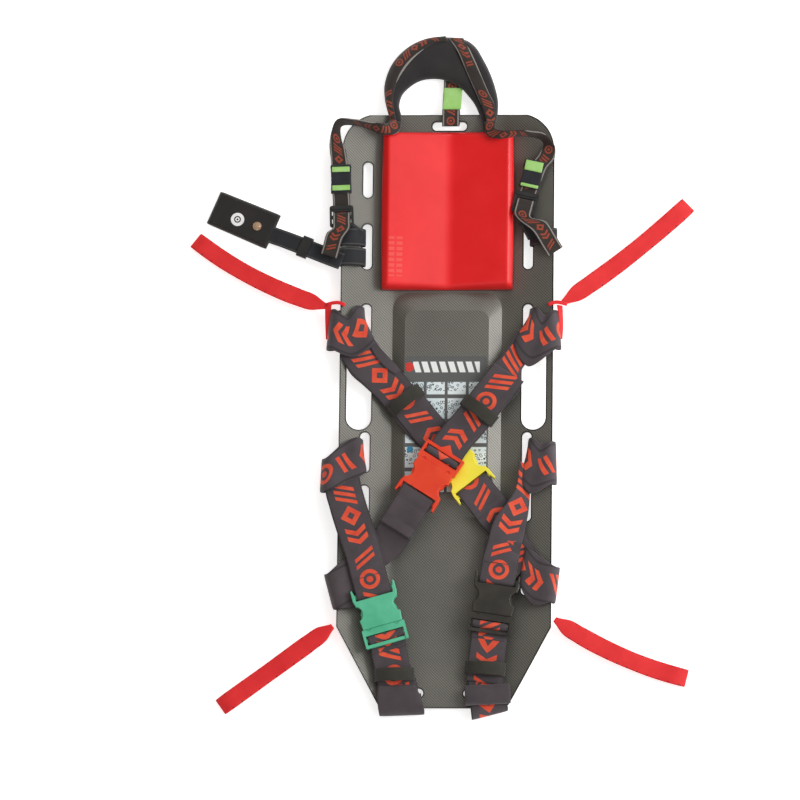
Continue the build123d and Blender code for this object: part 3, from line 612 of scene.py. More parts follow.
INK = ("dd3f22", "f25a34")
printed_webbing = webbing_look("harness_webbing_printed", "3f373b", "544a50", INK)
plain_webbing = webbing_look("harness_webbing", "43393d", "564b4f")
elastic = elastic_look("elastic_band", "2c2a22", "3a372d")
sleeve_elastic = elastic_look("sleeve_elastic", "17181d", "262931")
handle_red = handle_look()
narrow = narrow_look("narrow_webbing", "231b18", "33281f", True)
plain_narrow = narrow_look("narrow_webbing_plain", "15171b", "262a30", False)
yoke_cloth = cloth_look("yoke_fabric", "1b1718", "2b2526", 0.0011)
flap_cloth = cloth_look("flap_fabric", "14110f", "251f1b", 0.0010)
green_cloth = cloth_look("green_tab", "a2e26e", "c2f496", 0.0008, 0.8, 0.15)
pad_red = pad_look()
lock_plastic = plastic_look("lock_plastic", "171717", "2b2a29", 0.42)

CAD_LOOKS = {
    "board": carbon_look(),
    "instruction_label": label_look(),
    "pad_hook_strips": tape_look(),
    "tab_disc": disc_look(),
    "tab_snap": brass_look(),
    "tab_slider": lock_plastic,
    "left_ladder_lock": lock_plastic,
    "right_ladder_lock": lock_plastic,
}
PLASTICS = {
    "red": ("e2330f", "f2481f"),
    "yellow": ("efdc1f", "fbef4a"),
    "green": ("49b489", "66cca2"),
    "black": ("211e19", "38342c"),
}
for colour_name, shades in PLASTICS.items():
    plastic = plastic_look(f"buckle_{colour_name}", *shades)
    for half in ("socket", "tongue", "prong_left", "prong_right"):
        CAD_LOOKS[f"{colour_name}_{half}"] = plastic

for node, material in CAD_LOOKS.items():
    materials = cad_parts[node].data.materials
    materials.clear()
    materials.append(material)


def place(shape, name, end, material, slot, body, *bend):
    """Makes the piece that stands for the CAD node name, on its CAD body.

    bend is (other body, start, end) of a piece that runs across a joint; when it is given, the piece is
    left in place on no body, and these values are not read."""
    obj = shape.piece(f"{name}_{end}", material)
    if bend:
        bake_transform(obj)
    else:
        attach(obj, body)
    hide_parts(name)
    return obj


# ---------------------------------------------------------------- harness straps
def under_flange(x):
    """Middle of webbing that lies under the flange at x from the centre line."""
    return 0.1 + (x - FLAT_HALF_WIDTH) * FLANGE_RISE - 1.8


def looped(side, along, inner, middle, outer):
    """A strap's closed loop round the bar between its slot and the board's edge.

    inner, middle and outer are the head-side and foot-side points of its upper face."""
    (ih, il), (mh, ml), (oh, ol) = inner, middle, outer
    share = 0.6
    back = [edge[1] * share + slot[1] * (1 - share) for slot, edge in ((ih, oh), (il, ol))]
    rows = [
        ((115, ih[1] - 2, 10), (115, il[1] + 4, 10)),
        ((*ih, 21.5), (*il, 22)),
        ((*mh, 26.5), (*ml, 27.5)),
        ((oh[0] - 4, oh[1], 26.5), (ol[0] - 4, ol[1], 27)),
        ((*oh, 20), (*ol, 20.5)),
        ((oh[0] - 3, oh[1], 13), (ol[0] - 3, ol[1], 13.5)),
        ((138, back[0], under_flange(138)), (138, back[1], under_flange(138))),
        ((121, ih[1] - 2, under_flange(121)), (121, il[1] + 2, under_flange(121))),
    ]
    rows = [tuple((side * x, y, z) for x, y, z in row) for row in rows]
    rows = rows if side > 0 else [(low, high) for high, low in rows]
    return Shape().ribbon(rows, closed=True, along=along)


# the path of webbing round the bars of a buckle's tongue and of its socket: (a, height)
TONGUE_WAY = (
    (34, -5.9), (25, -5.9), (15, -5.4), (11.8, -3.8), (10.8, 0), (11.9, 3.0), (15, 4.1),
    (18.1, 3.0), (19.2, 0), (20.4, -2.4), (25, -3.65), (34, -3.6),
)
SOCKET_WAY = (
    (-74, 1.4), (-62, 2.0), (-56, 3.4), (-50, 3.9), (-45, 3.7), (-42.9, 2.2), (-42.5, 0), (-42.9, -2.2),
    (-45, -3.7), (-50, -3.9), (-56, -2.6), (-62, -0.6), (-74, -0.9),
)


def strap_on_tongue(name, points, tail):
    """Stations through points, round the tongue's bar and back over them as the loose tail."""
    angle = BUCKLES[name][3] + 180
    way = [on_buckle(name, a, rise) for a, rise in TONGUE_WAY]
    back = [(x, y, z + LAYER) for x, y, z in tail]
    return stations([*points, *way, *back], level_width(angle, HARNESS_WIDTH - 1))


def strap_on_socket(name, before):
    """Stations from before, round the socket's bar to the sewn-down end."""
    angle = BUCKLES[name][3]
    way = [on_buckle(name, a, rise) for a, rise in SOCKET_WAY]
    half = level_width(angle, HARNESS_WIDTH - 1)
    sewn = [on_buckle(name, -104, -0.9)]
    return [*before, *stations([*way, *sewn], half)]


def upper_strap(name, buckle, loop, before, along, seams, material=printed_webbing, wave=0.0):
    """Strap sewn on a buckle's socket; seams are (a, rise) of its raised rows of stitching."""
    shape = looped(*loop)
    shape.ribbon(strap_on_socket(buckle, before), along=along, wave=wave)
    half = level_width(BUCKLES[buckle][3], HARNESS_WIDTH - 7)
    for a, rise in seams:
        shape.ribbon(stations([on_buckle(buckle, a + step, rise) for step in (-0.5, 0.5)], half), 0.9)
    place(shape, name, "web", material, "harness_webbing", "root")


def between(first, last, share, z):
    """Point a share of the way from first to last, at height z."""
    return (first[0] + (last[0] - first[0]) * share, first[1] + (last[1] - first[1]) * share, z)


def all_between(first, last, way):
    """Points from first to last; way has the share and the height of each."""
    return [between(first, last, share, z) for share, z in way]


# shoulder strap, left: from the left flange to the yellow tongue
start, end = (-127, 101), on_buckle("yellow", 16)[:2]
shape = looped(-1, 58, ((123.5, 146), (99, 96)), ((137, 129), (127, 73)), ((159, 140), (165, 83)))
shape.ribbon([
    ((-112, 108, 22), (-148, 84, 21)), ((-101, 94, 23.5), (-141, 66, 22)),
    ((-89, 83, 22), (-131, 49, 21.5)), ((-76, 69, 19.5), (-114, 34, 19.5)),
    ((-55, 46, 17.3), (-93, 14, 17.3)), ((-34.5, 20.5, 16.4), (-73, -10.5, 16.4)),
    ((-14.5, -4, 15), (-53, -35, 15)),
    *strap_on_tongue(
        "yellow", [],
        all_between(start, end, ((0.72, 14.6), (0.6, 16), (0.53, 16.9))),
    ),
], along=20)
shape.ribbon([
    ((-107, 92, 25.6), (-99, 97, 24.6)), ((-96, 72, 24.6), (-86.5, 81, 24)),
    ((-80, 56, 21.8), (-72, 65.5, 21)), ((-70, 49, 19.7), (-62, 55, 19.2)),
], 2.0, plain=True)
place(
    shape, "shoulder_strap_left", "web", printed_webbing, "harness_webbing",
    "root", "yellow_tongue", (-60, 18, 17), on_buckle("yellow", 30),
)

# shoulder strap, right: from the right flange to the red tongue, over everything else
start, end = (124, 99), on_buckle("red", 16)[:2]
RIGHT_RUN = ((0.32, 26.2), (0.5, 26.8), (0.68, 27.2))
RIGHT_TAIL = ((0.68, 27.3), (0.5, 26.9), (0.36, 26.4), (0.29, 26.2))
shape = looped(1, 86, ((122.5, 143.5), (96, 98)), ((136, 131), (113, 59)), ((153, 138), (158, 84)))
shape.ribbon([
    ((128, 83, 21), (99, 112, 21)), ((113, 67, 24), (87, 89, 24)), ((104, 52, 25.6), (74, 71, 25.6)),
    *strap_on_tongue(
        "red",
        all_between(start, end, RIGHT_RUN),
        all_between(start, end, RIGHT_TAIL),
    ),
], along=12)
place(
    shape, "shoulder_strap_right", "web", printed_webbing, "harness_webbing",
    "root", "red_tongue", (60, 25, 26), on_buckle("red", 30),
)

# hip strap, left: sewn on the red socket, plain, down to the left flange
half = level_width(BUCKLES["red"][3], HARNESS_WIDTH - 1)
upper_strap(
    "hip_strap_left", "red",
    (-1, 40, ((116, -204), (112, -262)), ((137, -209), (128, -275)), ((164, -229), (151, -277))), [
        ((-133, -196, 21), (-104, -240, 21)), ((-122, -190, 24), (-93, -228, 23)),
        *stations([on_buckle("red", -122, -10), on_buckle("red", -96, -2.5)], half),
    ], 40, ((-71, 2.3), (-80.5, 1.1)), plain_webbing,
)

# hip strap, right: sewn on the yellow socket, down to the right flange
half = level_width(BUCKLES["yellow"][3], HARNESS_WIDTH - 1)
upper_strap(
    "hip_strap_right", "yellow",
    (1, 70, ((112, -190), (105, -238)), ((130, -203), (121, -271)), ((158, -219), (152, -268))), [
        ((96, -237, 22), (128, -198, 22)), ((80, -214, 20), (115, -180, 20)),
        *stations([on_buckle("yellow", -118, -0.5), on_buckle("yellow", -96, 0)], half),
    ], 30, ((-80, 1.9), (-88, 1.9)),
)

# leg strap, left upper: from the left flange down to the green socket
upper_strap(
    "leg_strap_left_upper", "green",
    (-1, 104, ((119, -39), (108, -86)), ((138, -46), (137, -104)), ((169, -69), (171, -115))), [
        ((-117, -72, 22), (-159, -82, 22)), ((-117, -94, 25), (-164, -110, 25)),
        ((-109, -125, 28), (-157, -140, 28)), ((-97, -161, 30), (-145.5, -176, 30)),
        ((-84, -200, 31), (-132.5, -213, 31)),
    ], 8, ((-71, 2.3),),
)

# leg strap, right upper: pinched and turned over once below the flange, then to the black socket
upper_strap(
    "leg_strap_right_upper", "black",
    (1, 96, ((118, -39), (105, -94)), ((133, -48), (118, -118)), ((151, -45), (153, -104))), [
        ((132, -84, 21), (101, -72, 23)), ((118, -97, 21), (101, -93, 27)),
        ((117, -113, 19), (98, -110, 29)), ((115, -140, 19.5), (86, -131, 30)),
        ((111, -166, 23), (69.5, -154, 31.5)), ((104, -199, 28), (59, -190, 32)),
    ], 22, ((-71, 2.3),), wave=0.25,
)


# ---------------------------------------------------------------- lower leg straps
# share of the way from the tongue to the foot slot, and the height there
LEG_RUN = ((0.5, 20.5), (0.3, 22.5), (0.15, 24))
LEG_TAIL = ((0.15, 24.1), (0.3, 22.6), (0.5, 20.7), (0.62, 19.4), (0.78, 18.9))


def foot_way(x, lean):
    """Centre points of the webbing over the foot edge, under the bar and into its slot."""
    return [
        (x - lean, -378, 19.5), (x, -402, 19.5), (x + lean * 0.5, -415, 18.5), (x + lean * 0.7, -421, 13),
        (x + lean * 0.7, -418, 6.5), (x + lean * 0.5, -408, 4.6), (x, -399, 5.5), (x, -393.5, 9),
    ]


def leg_lower(name, buckle, points, x, lean, tilt, fold, along):
    """Adjustable length from the tongue to the foot slot, with its tail and a plain fold on top."""
    first, last = points
    run, tail = (all_between(first, last, way) for way in (LEG_RUN, LEG_TAIL))
    shape = Shape()
    foot = stations(foot_way(x, lean)[::-1], vec([24.5, 24.5 * tilt, 0]))
    shape.ribbon([*foot, *strap_on_tongue(buckle, run, tail)], along=along)
    shape.ribbon(**fold)
    place(
        shape, name, "web", printed_webbing, "harness_webbing",
        "root", f"{buckle}_tongue", between(first, last, 0.75, 18), on_buckle(buckle, 30),
    )


# on the left the fold goes round the foot edge with the strap, on the right it is a flat roll on top
WIDE_FOLD = [
    ((-88.5, -383, 23.2), (-38, -381, 23.2)), ((-89.5, -399, 23.4), (-30.5, -396, 23.4)),
    ((-88, -414, 21.6), (-25.5, -411, 21.6)), ((-86.5, -422.5, 14), (-25, -420, 14)),
    ((-86, -420, 5.6), (-26, -418, 5.6)), ((-86, -408, 2.6), (-28, -407, 2.6)),
    ((-85, -399, 3.2), (-30, -398, 3.2)), ((-84.5, -392, 8.5), (-30.5, -391.5, 8.5)),
]
leg_lower(
    "leg_strap_left_lower", "green", (on_buckle("green", 16), (-60, -400)), -58, 2, 0.05,
    {"stations": WIDE_FOLD, "plain": True}, 96,
)
leg_lower(
    "leg_strap_right_lower", "black", (on_buckle("black", 16), (53, -400)), 62, 3, 0.26,
    {"stations": hoop((61.5, -394.5, 24), (0.05, -1, 0), 12.5, 2.9, 62), "closed": True, "plain": True}, 30,
)


# ---------------------------------------------------------------- elastic keepers
def keeper(name, first, last, share, z, skew=0):
    """Elastic band round both layers of a strap."""
    angle = degrees(atan2(last[1] - first[1], last[0] - first[0])) + skew
    out = level_width(angle, 2)
    ring = hoop(between(first, last, share, z + LAYER / 2), out, 26.8, 3.4, 18)
    shape = Shape().ribbon(ring, 1.3, closed=True, step=2.5)
    place(shape, name, "band", elastic, "elastic_band", name)


keeper("keeper_shoulder_left", (-127, 101), on_buckle("yellow", 16), 0.56, 16.2)
keeper("keeper_shoulder_right", (124, 99), on_buckle("red", 16), 0.61, 27.1)
keeper("keeper_leg_left", on_buckle("green", 16), (-60, -400), 0.61, 19.5, -10)
keeper("keeper_leg_right", on_buckle("black", 16), (53, -400), 0.58, 19.9, 3)


# ---------------------------------------------------------------- pull handles
HANDLES = {
    "handle_head_left": ((-166, 145), (-350, 241), 10),
    "handle_head_right": ((160, 150), (331, 289), -5),
    "handle_foot_left": ((-152, -300), (-305, -410), 0),
    "handle_foot_right": ((152, -290), (331, -369), -9),
}
HANDLE_ROOT_Z, HANDLE_TIP_Z = 17, 3.2
# share of the way out, and the width there
HANDLE_WIDTHS = (
    (0, 7), (0.035, 12), (0.09, 21), (0.2, 24), (0.4, 24.5), (0.6, 24), (0.8, 24.5), (0.985, 24),
)


def handle(name, root, tip, bow):
    """Doubled webbing: out to the tip and back underneath, pinched where it is tied on."""
    reach = vec(tip) - vec(root)
    side = vec([-reach[1], reach[0]]) / np.linalg.norm(reach)
    out, back = [], []
    for share, width in HANDLE_WIDTHS:
        level = HANDLE_ROOT_Z + (HANDLE_TIP_Z - HANDLE_ROOT_Z) * share
        x, y = vec(root) + reach * share + side * bow * 4 * share * (1 - share)
        slope = reach + side * bow * 4 * (1 - 2 * share)
        right = to_right(slope, width / 2)
        sag = 0.5 * sin(share * 9 + bow)
        for rows, rise in ((out, 1.05), (back, -1.05)):
            middle = vec([x, y, level + sag + rise])
            rows.append((tuple(middle - right), tuple(middle + right)))
    fold = vec([*(vec(tip) + reach / np.linalg.norm(reach) * 0.2), HANDLE_TIP_Z])
    last = (vec(out[-1][1]) - vec(out[-1][0])) / 2
    out.append((tuple(fold - last), tuple(fold + last)))
    shape = Shape().ribbon([*out, *back[::-1]], 1.9, step=4)
    place(shape, name, "web", handle_red, "handle_webbing", name)


for name, way in HANDLES.items():
    handle(name, *way)

TIES = {
    "handle_tie_left": (-1, [
        ((-168, 145, 19), (-159, 146, 21)), ((-168, 134, 18), (-160.5, 134, 21)),
        ((-167.5, 118, 17), (-162, 118, 20)), ((-166.5, 99, 16), (-164, 99, 17)),
    ]),
    "handle_tie_right": (1, [
        ((152, 146, 21.5), (159.5, 145, 19)), ((154, 134, 22), (160, 134, 18)),
        ((155.5, 118, 21), (160.5, 118, 17)), ((157.5, 99, 17), (159.5, 99, 16)),
    ]),
}
TIE_KNOT = ((166, 147, 20), (158, 149, 21.5), (150, 149.5, 22.5), (140, 146, 23))
for tie, (side, edges) in TIES.items():
    shape = Shape().ribbon(edges, 1.8)
    shape.ribbon(along_path([(side * x, y, z) for x, y, z in TIE_KNOT], 5), 1.6)
    place(shape, tie, "web", handle_red, "handle_webbing", "root")

# ---------------------------------------------------------------- head pad
PAD_HALF_WIDTH, PAD_FOOT_Y, PAD_HEAD_Y = 91.5, 169.5, 391


def pad_floor(x, y):
    rocker = 420 - (420**2 - max(0, y - 330) ** 2) ** 0.5
    return 6.9 + max(0, abs(x) - FLAT_HALF_WIDTH) * 0.22 + rocker


def pad_top(x, y):
    """V valley down the middle, softly rounded in the crease."""
    return 13.7 + 19 * (((x - 2.5) / 86) ** 2 + 0.0003) ** 0.5 - 0.9 * max(0, abs(x - 1) - 83)


rows = []
for y_share in np.linspace(0, 1, 61):
    y = PAD_FOOT_Y + (PAD_HEAD_Y - PAD_FOOT_Y) * y_share
    half_width = PAD_HALF_WIDTH - 1.5 + 1.5 * sin(pi * y_share)
    rows.append([(x * half_width, y) for x in np.sin(np.linspace(-pi / 2, pi / 2, 61))])
shape = Shape().dome(rows, pad_floor, pad_top, 0.2, 26)
pad = place(shape, "head_pad", "cover", pad_red, "pad_red", "root")

# ---------------------------------------------------------------- drag yoke
YOKE_HINGE_Y = 398
YOKE_UNDERSIDE = 17.7
YOKE_DROP = 0.1
YOKE_THICKNESS = 9.6
YOKE_OUTER = (
    (-77, -4), (-82, 16), (-87, 37), (-89, 60), (-83, 81), (-75, 96), (-62, 111), (-45, 122),
    (-26, 127), (-5, 129), (11, 128), (26, 123), (35.5, 115), (46, 98), (56, 78), (63.5, 57),
    (68, 37), (67.5, 16), (63, -6),
)
YOKE_INNER = (
    (-67, -4), (-65, 10), (-69, 32), (-65, 46), (-55, 57), (-42, 65.5), (-23, 69), (-6, 67),
    (15.5, 56.5), (25, 46), (35.5, 32), (42, 18), (49, -6),
)


def even(points, count):
    """count points evenly along the smooth curve through points."""
    places = np.concatenate([[0], np.cumsum(np.linalg.norm(np.diff(points, axis=0), axis=1))])
    return through(places, points, np.linspace(0, places[-1], count))


def yoke_level(x, y):
    return YOKE_UNDERSIDE - YOKE_DROP * (y - YOKE_HINGE_Y)


outer = even(YOKE_OUTER, 91) + (0, YOKE_HINGE_Y)
inner = even(YOKE_INNER, 91) + (0, YOKE_HINGE_Y)
rows = [[tuple(o + (i - o) * share) for share in np.linspace(0, 1, 17)] for o, i in zip(outer, inner)]
shape = Shape().dome(rows, yoke_level, lambda x, y: yoke_level(x, y) + YOKE_THICKNESS, 0.3, 4)
yoke = place(shape, "yoke_pad", "cover", yoke_cloth, "yoke_fabric", "yoke")


def yoke_webbing(name, edges, bow):
    """Webbing sewn on the crescent; edges are pairs of outer and inner points.

    Each is (x, y, rise over the pad's underside)."""
    line = [
        tuple((x, YOKE_HINGE_Y + y, yoke_level(x, YOKE_HINGE_Y + y) + rise) for x, y, rise in pair)
        for pair in edges
    ]
    shape = Shape().ribbon(line, NARROW_THICKNESS, along=20, bow=bow)
    place(shape, name, "web", narrow, "narrow_webbing", "yoke")


yoke_webbing("yoke_webbing_left", [
    ((-79, 2, 4), (-71, 2, 10.4)), ((-83, 16, 3), (-74.5, 16, 10.6)),
    ((-88.5, 37, 2.6), (-77.5, 37, 10.6)), ((-90, 58, 2.6), (-74.5, 57, 10.6)),
    ((-81, 88.5, 2.6), (-64, 78.5, 10.6)), ((-60, 113, 2.6), (-47, 100, 10.8)),
    ((-33, 126.5, 2.8), (-23, 118.5, 10.4)), ((-7, 129.6, 3.2), (-3, 122, 10.2)),
], 3.0)
yoke_webbing("yoke_webbing_right", [
    ((19, 127.2, 3.2), (-1, 126.5, 7)), ((33, 99.5, 11), (11, 106.5, 11.2)),
    ((45, 71, 11), (25, 75, 11.2)), ((55.6, 46, 11), (36, 50, 11.2)),
    ((63.5, 29.5, 10), (45, 29.5, 11.2)), ((65.5, 14, 9), (51, 12, 11)), ((65, 1, 9), (54.5, -3, 11)),
], 0.8)

# centre loop through the head slot, and the green tab on it
CENTRE_X = 3
YOKE_BEND = ("yoke", (CENTRE_X, 400, 17), (CENTRE_X, 430, 17))
half = vec([NARROW_WIDTH / 2 - 0.5, 0, 0])
shape = Shape().ribbon(stations([
    (CENTRE_X, 398, 19.5), (CENTRE_X, 410, 20), (CENTRE_X, 421.5, 18), (CENTRE_X, 421, 9.5),
    (CENTRE_X, 412, 6), (CENTRE_X, 403.5, 8), (CENTRE_X, 402.6, 12), (CENTRE_X, 407, 17.2),
    (CENTRE_X, 424, 17), (CENTRE_X + 0.5, 440, 13.3), (CENTRE_X + 1, 455, 9), (CENTRE_X + 1, 474, 7.5),
], half), NARROW_THICKNESS)
place(shape, "centre_loop", "web", narrow, "narrow_webbing", "root", *YOKE_BEND)
half = vec([12.8, 0, 0])
shape = Shape().ribbon(stations([
    (CENTRE_X + 1, 422, 20.4), (CENTRE_X + 1.6, 432, 18.4),
    (CENTRE_X + 2.2, 443, 15), (CENTRE_X + 2.6, 454, 11.6),
], half), 1.4, wave=0.1)
place(shape, "centre_tab", "web", green_cloth, "green_tab", "root", *YOKE_BEND)

# ---------------------------------------------------------------- side webs
SIDE_Z = 26
SLEEVE_REACH = 20               # from its middle to an end
SLEEVE_HALF_WIDTH, SLEEVE_HALF_HEIGHT = 14.6, 3.7
SLOT_WEB_Y = 242
SIDE_TAIL = ((0.5, 36.4), (0.8, 32), (1, 29))
# path round a ladder lock's bars: (a back towards the sleeve, height)
LOCK_WAY = (
    (18, 25.8), (9, 26.0), (5.6, 28.6), (4.3, 31.6), (1.2, 33.6), (-3, 34.8), (-9, 36.9), (-15, 37.2),
)


def lock_axis(places):
    """Unit vector from the lock's middle bar back towards the sleeve."""
    return unit(vec(places["corner"]) - vec(places["lock"]))


def on_lock(places, a, z):
    x, y = vec(places["lock"]) + lock_axis(places) * a
    return (x, y, z)


SIDES = {
    "left": {
        "corner": (-150, 392), "lock": (-146, 268), "tail": (-163, 214), "sleeve": 0.56,
        "bend": ((-80, 400, 26), (-125, 396, 26)),
        "edges": [
            ((-66, 402, 29), (-82, 404, 28.5)), ((-70, 386, 33), (-85, 397.5, 39)),
            ((-89, 383, 36), (-92, 397, 46)), ((-107, 391, 27), (-104, 398.5, 45)),
            ((-127, 398.5, 24), (-127, 403, 44)), ((-149, 396, 25.5), (-153.5, 403.5, 40)),
            ((-147.5, 377, 25.5), (-162, 388, 31)), ((-142, 364, 25.5), (-164.5, 372, 27)),
            ((-139.5, 345, 26), (-162, 347, 26.5)), ((-138, 322, 26), (-161, 320, 26)),
        ],
    },
    "right": {
        "corner": (131, 392), "lock": (107.5, 286), "tail": (150, 219), "sleeve": 0.6,
        "bend": ((62, 398, 26), (105, 392, 26)),
        "edges": [
            ((65.5, 404, 29), (49.5, 402, 29)), ((66, 391, 38), (55, 381.5, 33)),
            ((77, 386.5, 46), (71, 377, 35.5)), ((92, 387, 47), (89, 379.5, 36)),
            ((116, 385, 45), (115, 381.5, 25)), ((134, 382, 41), (129, 377, 23.5)),
            ((147, 369, 33), (132, 370, 25)), ((148, 352, 27.5), (126, 357, 25.5)),
            ((138, 337, 26.5), (114, 343, 26)), ((131, 318, 26), (106, 323, 26)),
        ],
    },
}


def side_web(name, places):
    """Upper web: from the yoke round the board's shoulder, through the lock, to its tail."""
    axis = lock_axis(places)
    half = to_right(-axis, NARROW_WIDTH / 2 - 0.6)
    way = stations([on_lock(places, a, z) for a, z in LOCK_WAY], half)
    run = vec(places["tail"]) - vec(places["lock"])
    across = to_right(run, NARROW_WIDTH / 2 - 0.6)
    tail = stations(all_between(places["lock"], places["tail"], SIDE_TAIL), across)
    shape = Shape().ribbon([*places["edges"], *way, *tail], NARROW_THICKNESS)
    place(shape, f"{name}_side_web", "strap", narrow, "narrow_webbing", "yoke", "root", *places["bend"])


def slot_ring(sign, y, half_width, half_height, width):
    """Narrow webbing's closed stations round the bar beside its slot, on the sloping flange."""
    lean = radians(FLANGE_LEAN)
    return hoop(
        (sign * BAR_X, y, BAR_Z), (sign * cos(lean), 0, sin(lean)), half_width, half_height, width,
        (-sign * sin(lean), 0, cos(lean)),
    )


def slot_web(name, places, sign):
    """Short web from the lock's foot bar into the slot, round the bar beside it."""
    axis = lock_axis(places)
    bar = vec(on_lock(places, -11.5, 29.5))
    slot = vec([sign * 122, SLOT_WEB_Y, 20])
    run = slot - bar
    across = to_right(run, NARROW_WIDTH / 2 - 0.8)
    shape = Shape()
    shape.ribbon(hoop(bar, (*-axis, 0), 3.9, 3.6, NARROW_WIDTH - 2), 1.8, closed=True, step=2)
    line = [bar + run * 0.28 + (0, 0, -4), bar + run * 0.6 + (0, 0, -1), slot + (0, 0, 1.2)]
    shape.ribbon(stations(line, across), 1.8)
    shape.ribbon(slot_ring(sign, SLOT_WEB_Y, 18.2, 5.2, NARROW_WIDTH - 1), 1.8, closed=True, step=2.5)
    place(shape, f"{name}_slot_web", "strap", plain_narrow, "narrow_webbing", "root")


def sleeve_and_tabs(name, places, marks):
    """Elastic sleeve on the web, gathered in the middle, with green tabs sewn on it."""
    corner, lock = (vec(places[key]) for key in ("corner", "lock"))
    middle = corner + (lock - corner) * places["sleeve"]
    axis = lock_axis(places)
    side = to_right(axis, 1)
    rings, flat = [], []
    for along in np.linspace(-SLEEVE_REACH, SLEEVE_REACH, 21):
        pinch = 1 - 0.05 * cos(along / SLEEVE_REACH * pi / 2) + 0.012 * sin(along * 2.1)
        lip = 0.5 * max(0, abs(along) - SLEEVE_REACH + 1.5) / 1.5
        angles = np.linspace(0, 2 * pi, 40, endpoint=False)
        wide = np.sign(np.cos(angles)) * np.abs(np.cos(angles)) ** 0.35 * (SLEEVE_HALF_WIDTH * pinch - lip)
        tall = np.sign(np.sin(angles)) * np.abs(np.sin(angles)) ** 0.6 * (SLEEVE_HALF_HEIGHT - lip)
        point = vec([*(middle + axis * along), SIDE_Z])
        rings.append([point + side * w + (0, 0, t) for w, t in zip(wide, tall)])
        flat.append([(along, w) for w in wide])
    shape = Shape().rings_closed_ends(vec(rings), vec(flat))
    place(shape, f"{name}_web_sleeve", "band", sleeve_elastic, "sleeve_elastic", "root")
    shape = Shape()
    half = side * 12.3
    for distance, length in marks:
        line = [
            (*(middle - axis * (distance + length * s)), SIDE_Z + rise)
            for s, rise in ((-0.5, 4.0), (0, 4.6), (0.5, 4.0))
        ]
        shape.ribbon(stations(line, half), 1.1)
    place(shape, f"{name}_green_tabs", "cloth", green_cloth, "green_tab", "root")


for name, sign, marks in (("left", -1, ((-13, 7), (13, 7))), ("right", 1, ((-11, 14), (17, 4)))):
    side_web(name, SIDES[name])
    slot_web(name, SIDES[name], sign)
    sleeve_and_tabs(name, SIDES[name], marks)

# ---------------------------------------------------------------- head strap, slider and flap
shape = Shape().ribbon(slot_ring(-1, 214.5, 18.4, 5.4, NARROW_WIDTH), 1.9, closed=True, step=2.5)
place(shape, "tab_loop", "strap", plain_narrow, "narrow_webbing", "root")

TAB_START, TAB_END = (-158, 212), (-246, 249)
reach = vec(TAB_END) - TAB_START
right = to_right(reach, 12)
# share of the way from the slot to the flap, and the height there
TAB_HEIGHTS = (
    (-0.14, 25.5), (-0.04, 22.5), (0.06, 20.2), (0.2, 18.4), (0.6, 14.2), (0.82, 9.6), (0.94, 5.2),
    (1.03, 3.4),
)
points = all_between(TAB_START, TAB_END, TAB_HEIGHTS)
under = [between(TAB_START, TAB_END, s, z - 2.2) for s, z in TAB_HEIGHTS[3:]]
shape = Shape().ribbon(stations(points, right), 1.9, wave=0.15)
shape.ribbon(stations(under[:2], right * 0.96), 1.8)
place(shape, "tab_strap", "web", plain_narrow, "narrow_webbing", "head_tab")

FLAP_MIDDLE, FLAP_ANGLE, FLAP_LENGTH, FLAP_WIDTH, FLAP_TOP = (-284.6, 270.4), 157, 91, 52, 6.2
along = vec([cos(radians(FLAP_ANGLE)), sin(radians(FLAP_ANGLE))])
across = vec([-along[1], along[0]])
rows = []
for share in np.linspace(-1, 1, 33):
    narrower = 1 - 0.05 * (1 + share) / 2 - 0.03 * max(0, abs(share) - 0.9) / 0.1
    rows.append([
        tuple(FLAP_MIDDLE + along * share * FLAP_LENGTH / 2 + across * s * FLAP_WIDTH / 2 * narrower)
        for s in np.linspace(-1, 1, 21)
    ])
shape = Shape().dome(rows, lambda x, y: 0.4, lambda x, y: FLAP_TOP - 0.1, 0.35, 14)
for offset in (-1, 1):
    line = [(*(FLAP_MIDDLE + along * s + across * offset * 20.5), 5.9) for s in np.linspace(-38, 38, 9)]
    shape.ribbon(along_path(line, 1.1), 0.8)
flap = place(shape, "tab_flap", "cover", flap_cloth, "flap_fabric", "head_tab")

# ---------------------------------------------------------------- floor, light and camera
FLOOR_SIZE = 12.0
FLOOR_LEVEL = -0.0004
floor_mesh = bpy.data.meshes.new("floor")
corner = FLOOR_SIZE / 2
floor_mesh.from_pydata(
    [(x * corner, y * corner, FLOOR_LEVEL) for x, y in ((-1, -1), (1, -1), (1, 1), (-1, 1))],
    [], [(0, 1, 2, 3)],
)
floor = bpy.data.objects.new("floor", floor_mesh)
scene.collection.objects.link(floor)
floor_look = Look("floor", "Object", Roughness=0.9)
floor_look.colour(floor_look.mix(floor_look.noise(3.0), "f6f6f5", "fafaf9"))
floor_look.shader.inputs["Emission Color"].default_value = (1.0, 1.0, 1.0, 1.0)
floor_look.shader.inputs["Emission Strength"].default_value = 0.62
floor_mesh.materials.append(floor_look.material)


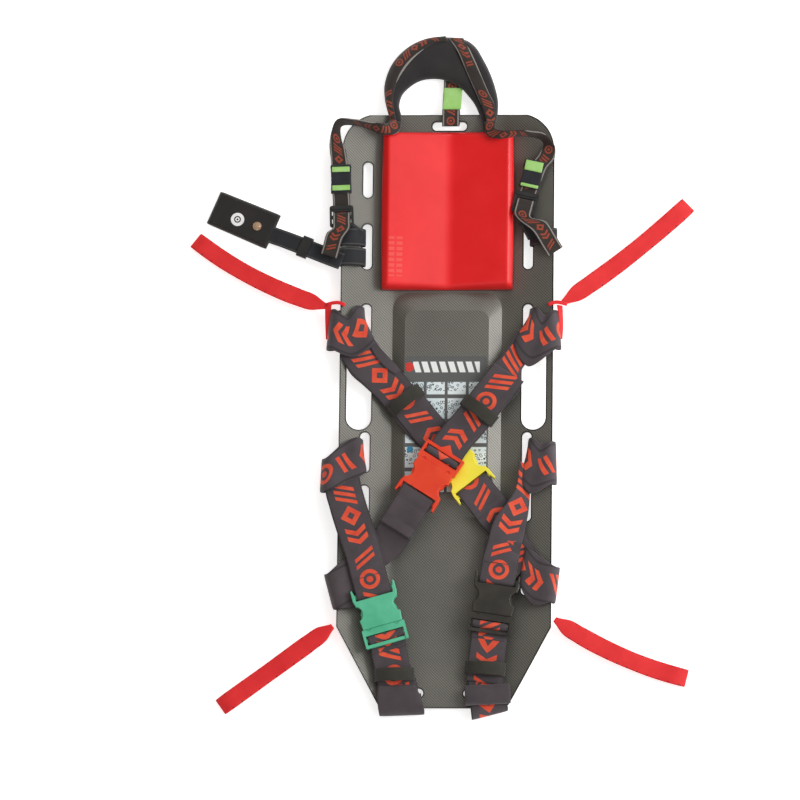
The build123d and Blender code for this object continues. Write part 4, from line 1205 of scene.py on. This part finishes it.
def area_light(name, position, size, energy, target=(0, 0, 0)):
    data = bpy.data.lights.new(name, "AREA")
    data.shape = "DISK"
    data.size = size
    data.energy = energy
    lamp = bpy.data.objects.new(name, data)
    lamp.location = position
    lamp.rotation_euler = (Vector(target) - Vector(position)).to_track_quat("-Z", "Y").to_euler()
    scene.collection.objects.link(lamp)


area_light("key", (2.4, 0.5, 2.3), 1.8, 52)
area_light("fill", (-2.2, -1.2, 2.8), 2.2, 10)
area_light("head", (0.4, 2.6, 2.2), 1.4, 10)

# a studio that is bright on the right and dark on the left
world = bpy.data.worlds.new("studio")
world.use_nodes = True
nodes, links = world.node_tree.nodes, world.node_tree.links
split = nodes.new("ShaderNodeSeparateXYZ")
links.new(nodes.new("ShaderNodeTexCoord").outputs["Generated"], split.inputs[0])
ramp = nodes.new("ShaderNodeMapRange")
for number, socket in zip((-0.5, 0.45, 0.0, 1.0), list(ramp.inputs)[1:]):
    socket.default_value = number
links.new(split.outputs[0], ramp.inputs[0])
shades = nodes.new("ShaderNodeMix")
shades.data_type = "RGBA"
shades.inputs[6].default_value = (0.17, 0.14, 0.115, 1.0)
shades.inputs[7].default_value = (0.98, 0.99, 1.0, 1.0)
links.new(ramp.outputs[0], shades.inputs[0])
links.new(shades.outputs[2], nodes["Background"].inputs["Color"])
nodes["Background"].inputs["Strength"].default_value = 0.85
scene.world = world
scene.view_settings.view_transform = "Standard"

CAMERA_DISTANCE = 9.0
VIEW_WIDTH = 1.1016             # of the picture, at the board
VIEW_TARGET = Vector((-0.0639, 0.0156, 0.008))
VIEW_BACK = Vector((0.07, -0.17, 0.983)).normalized()
VIEW_ROLL = radians(0.65)

camera_data = bpy.data.cameras.new("camera")
camera_data.sensor_width = 36
camera_data.lens = camera_data.sensor_width * CAMERA_DISTANCE / VIEW_WIDTH
camera = bpy.data.objects.new("camera", camera_data)
upward = Vector((-sin(VIEW_ROLL), cos(VIEW_ROLL), 0))
sideways = upward.cross(VIEW_BACK).normalized()
turn = Matrix((sideways, VIEW_BACK.cross(sideways), VIEW_BACK)).transposed()
camera.matrix_world = Matrix.Translation(VIEW_TARGET + VIEW_BACK * CAMERA_DISTANCE) @ turn.to_4x4()
camera_data.clip_end = 100
scene.collection.objects.link(camera)
scene.camera = camera

bpy.context.view_layer.update()
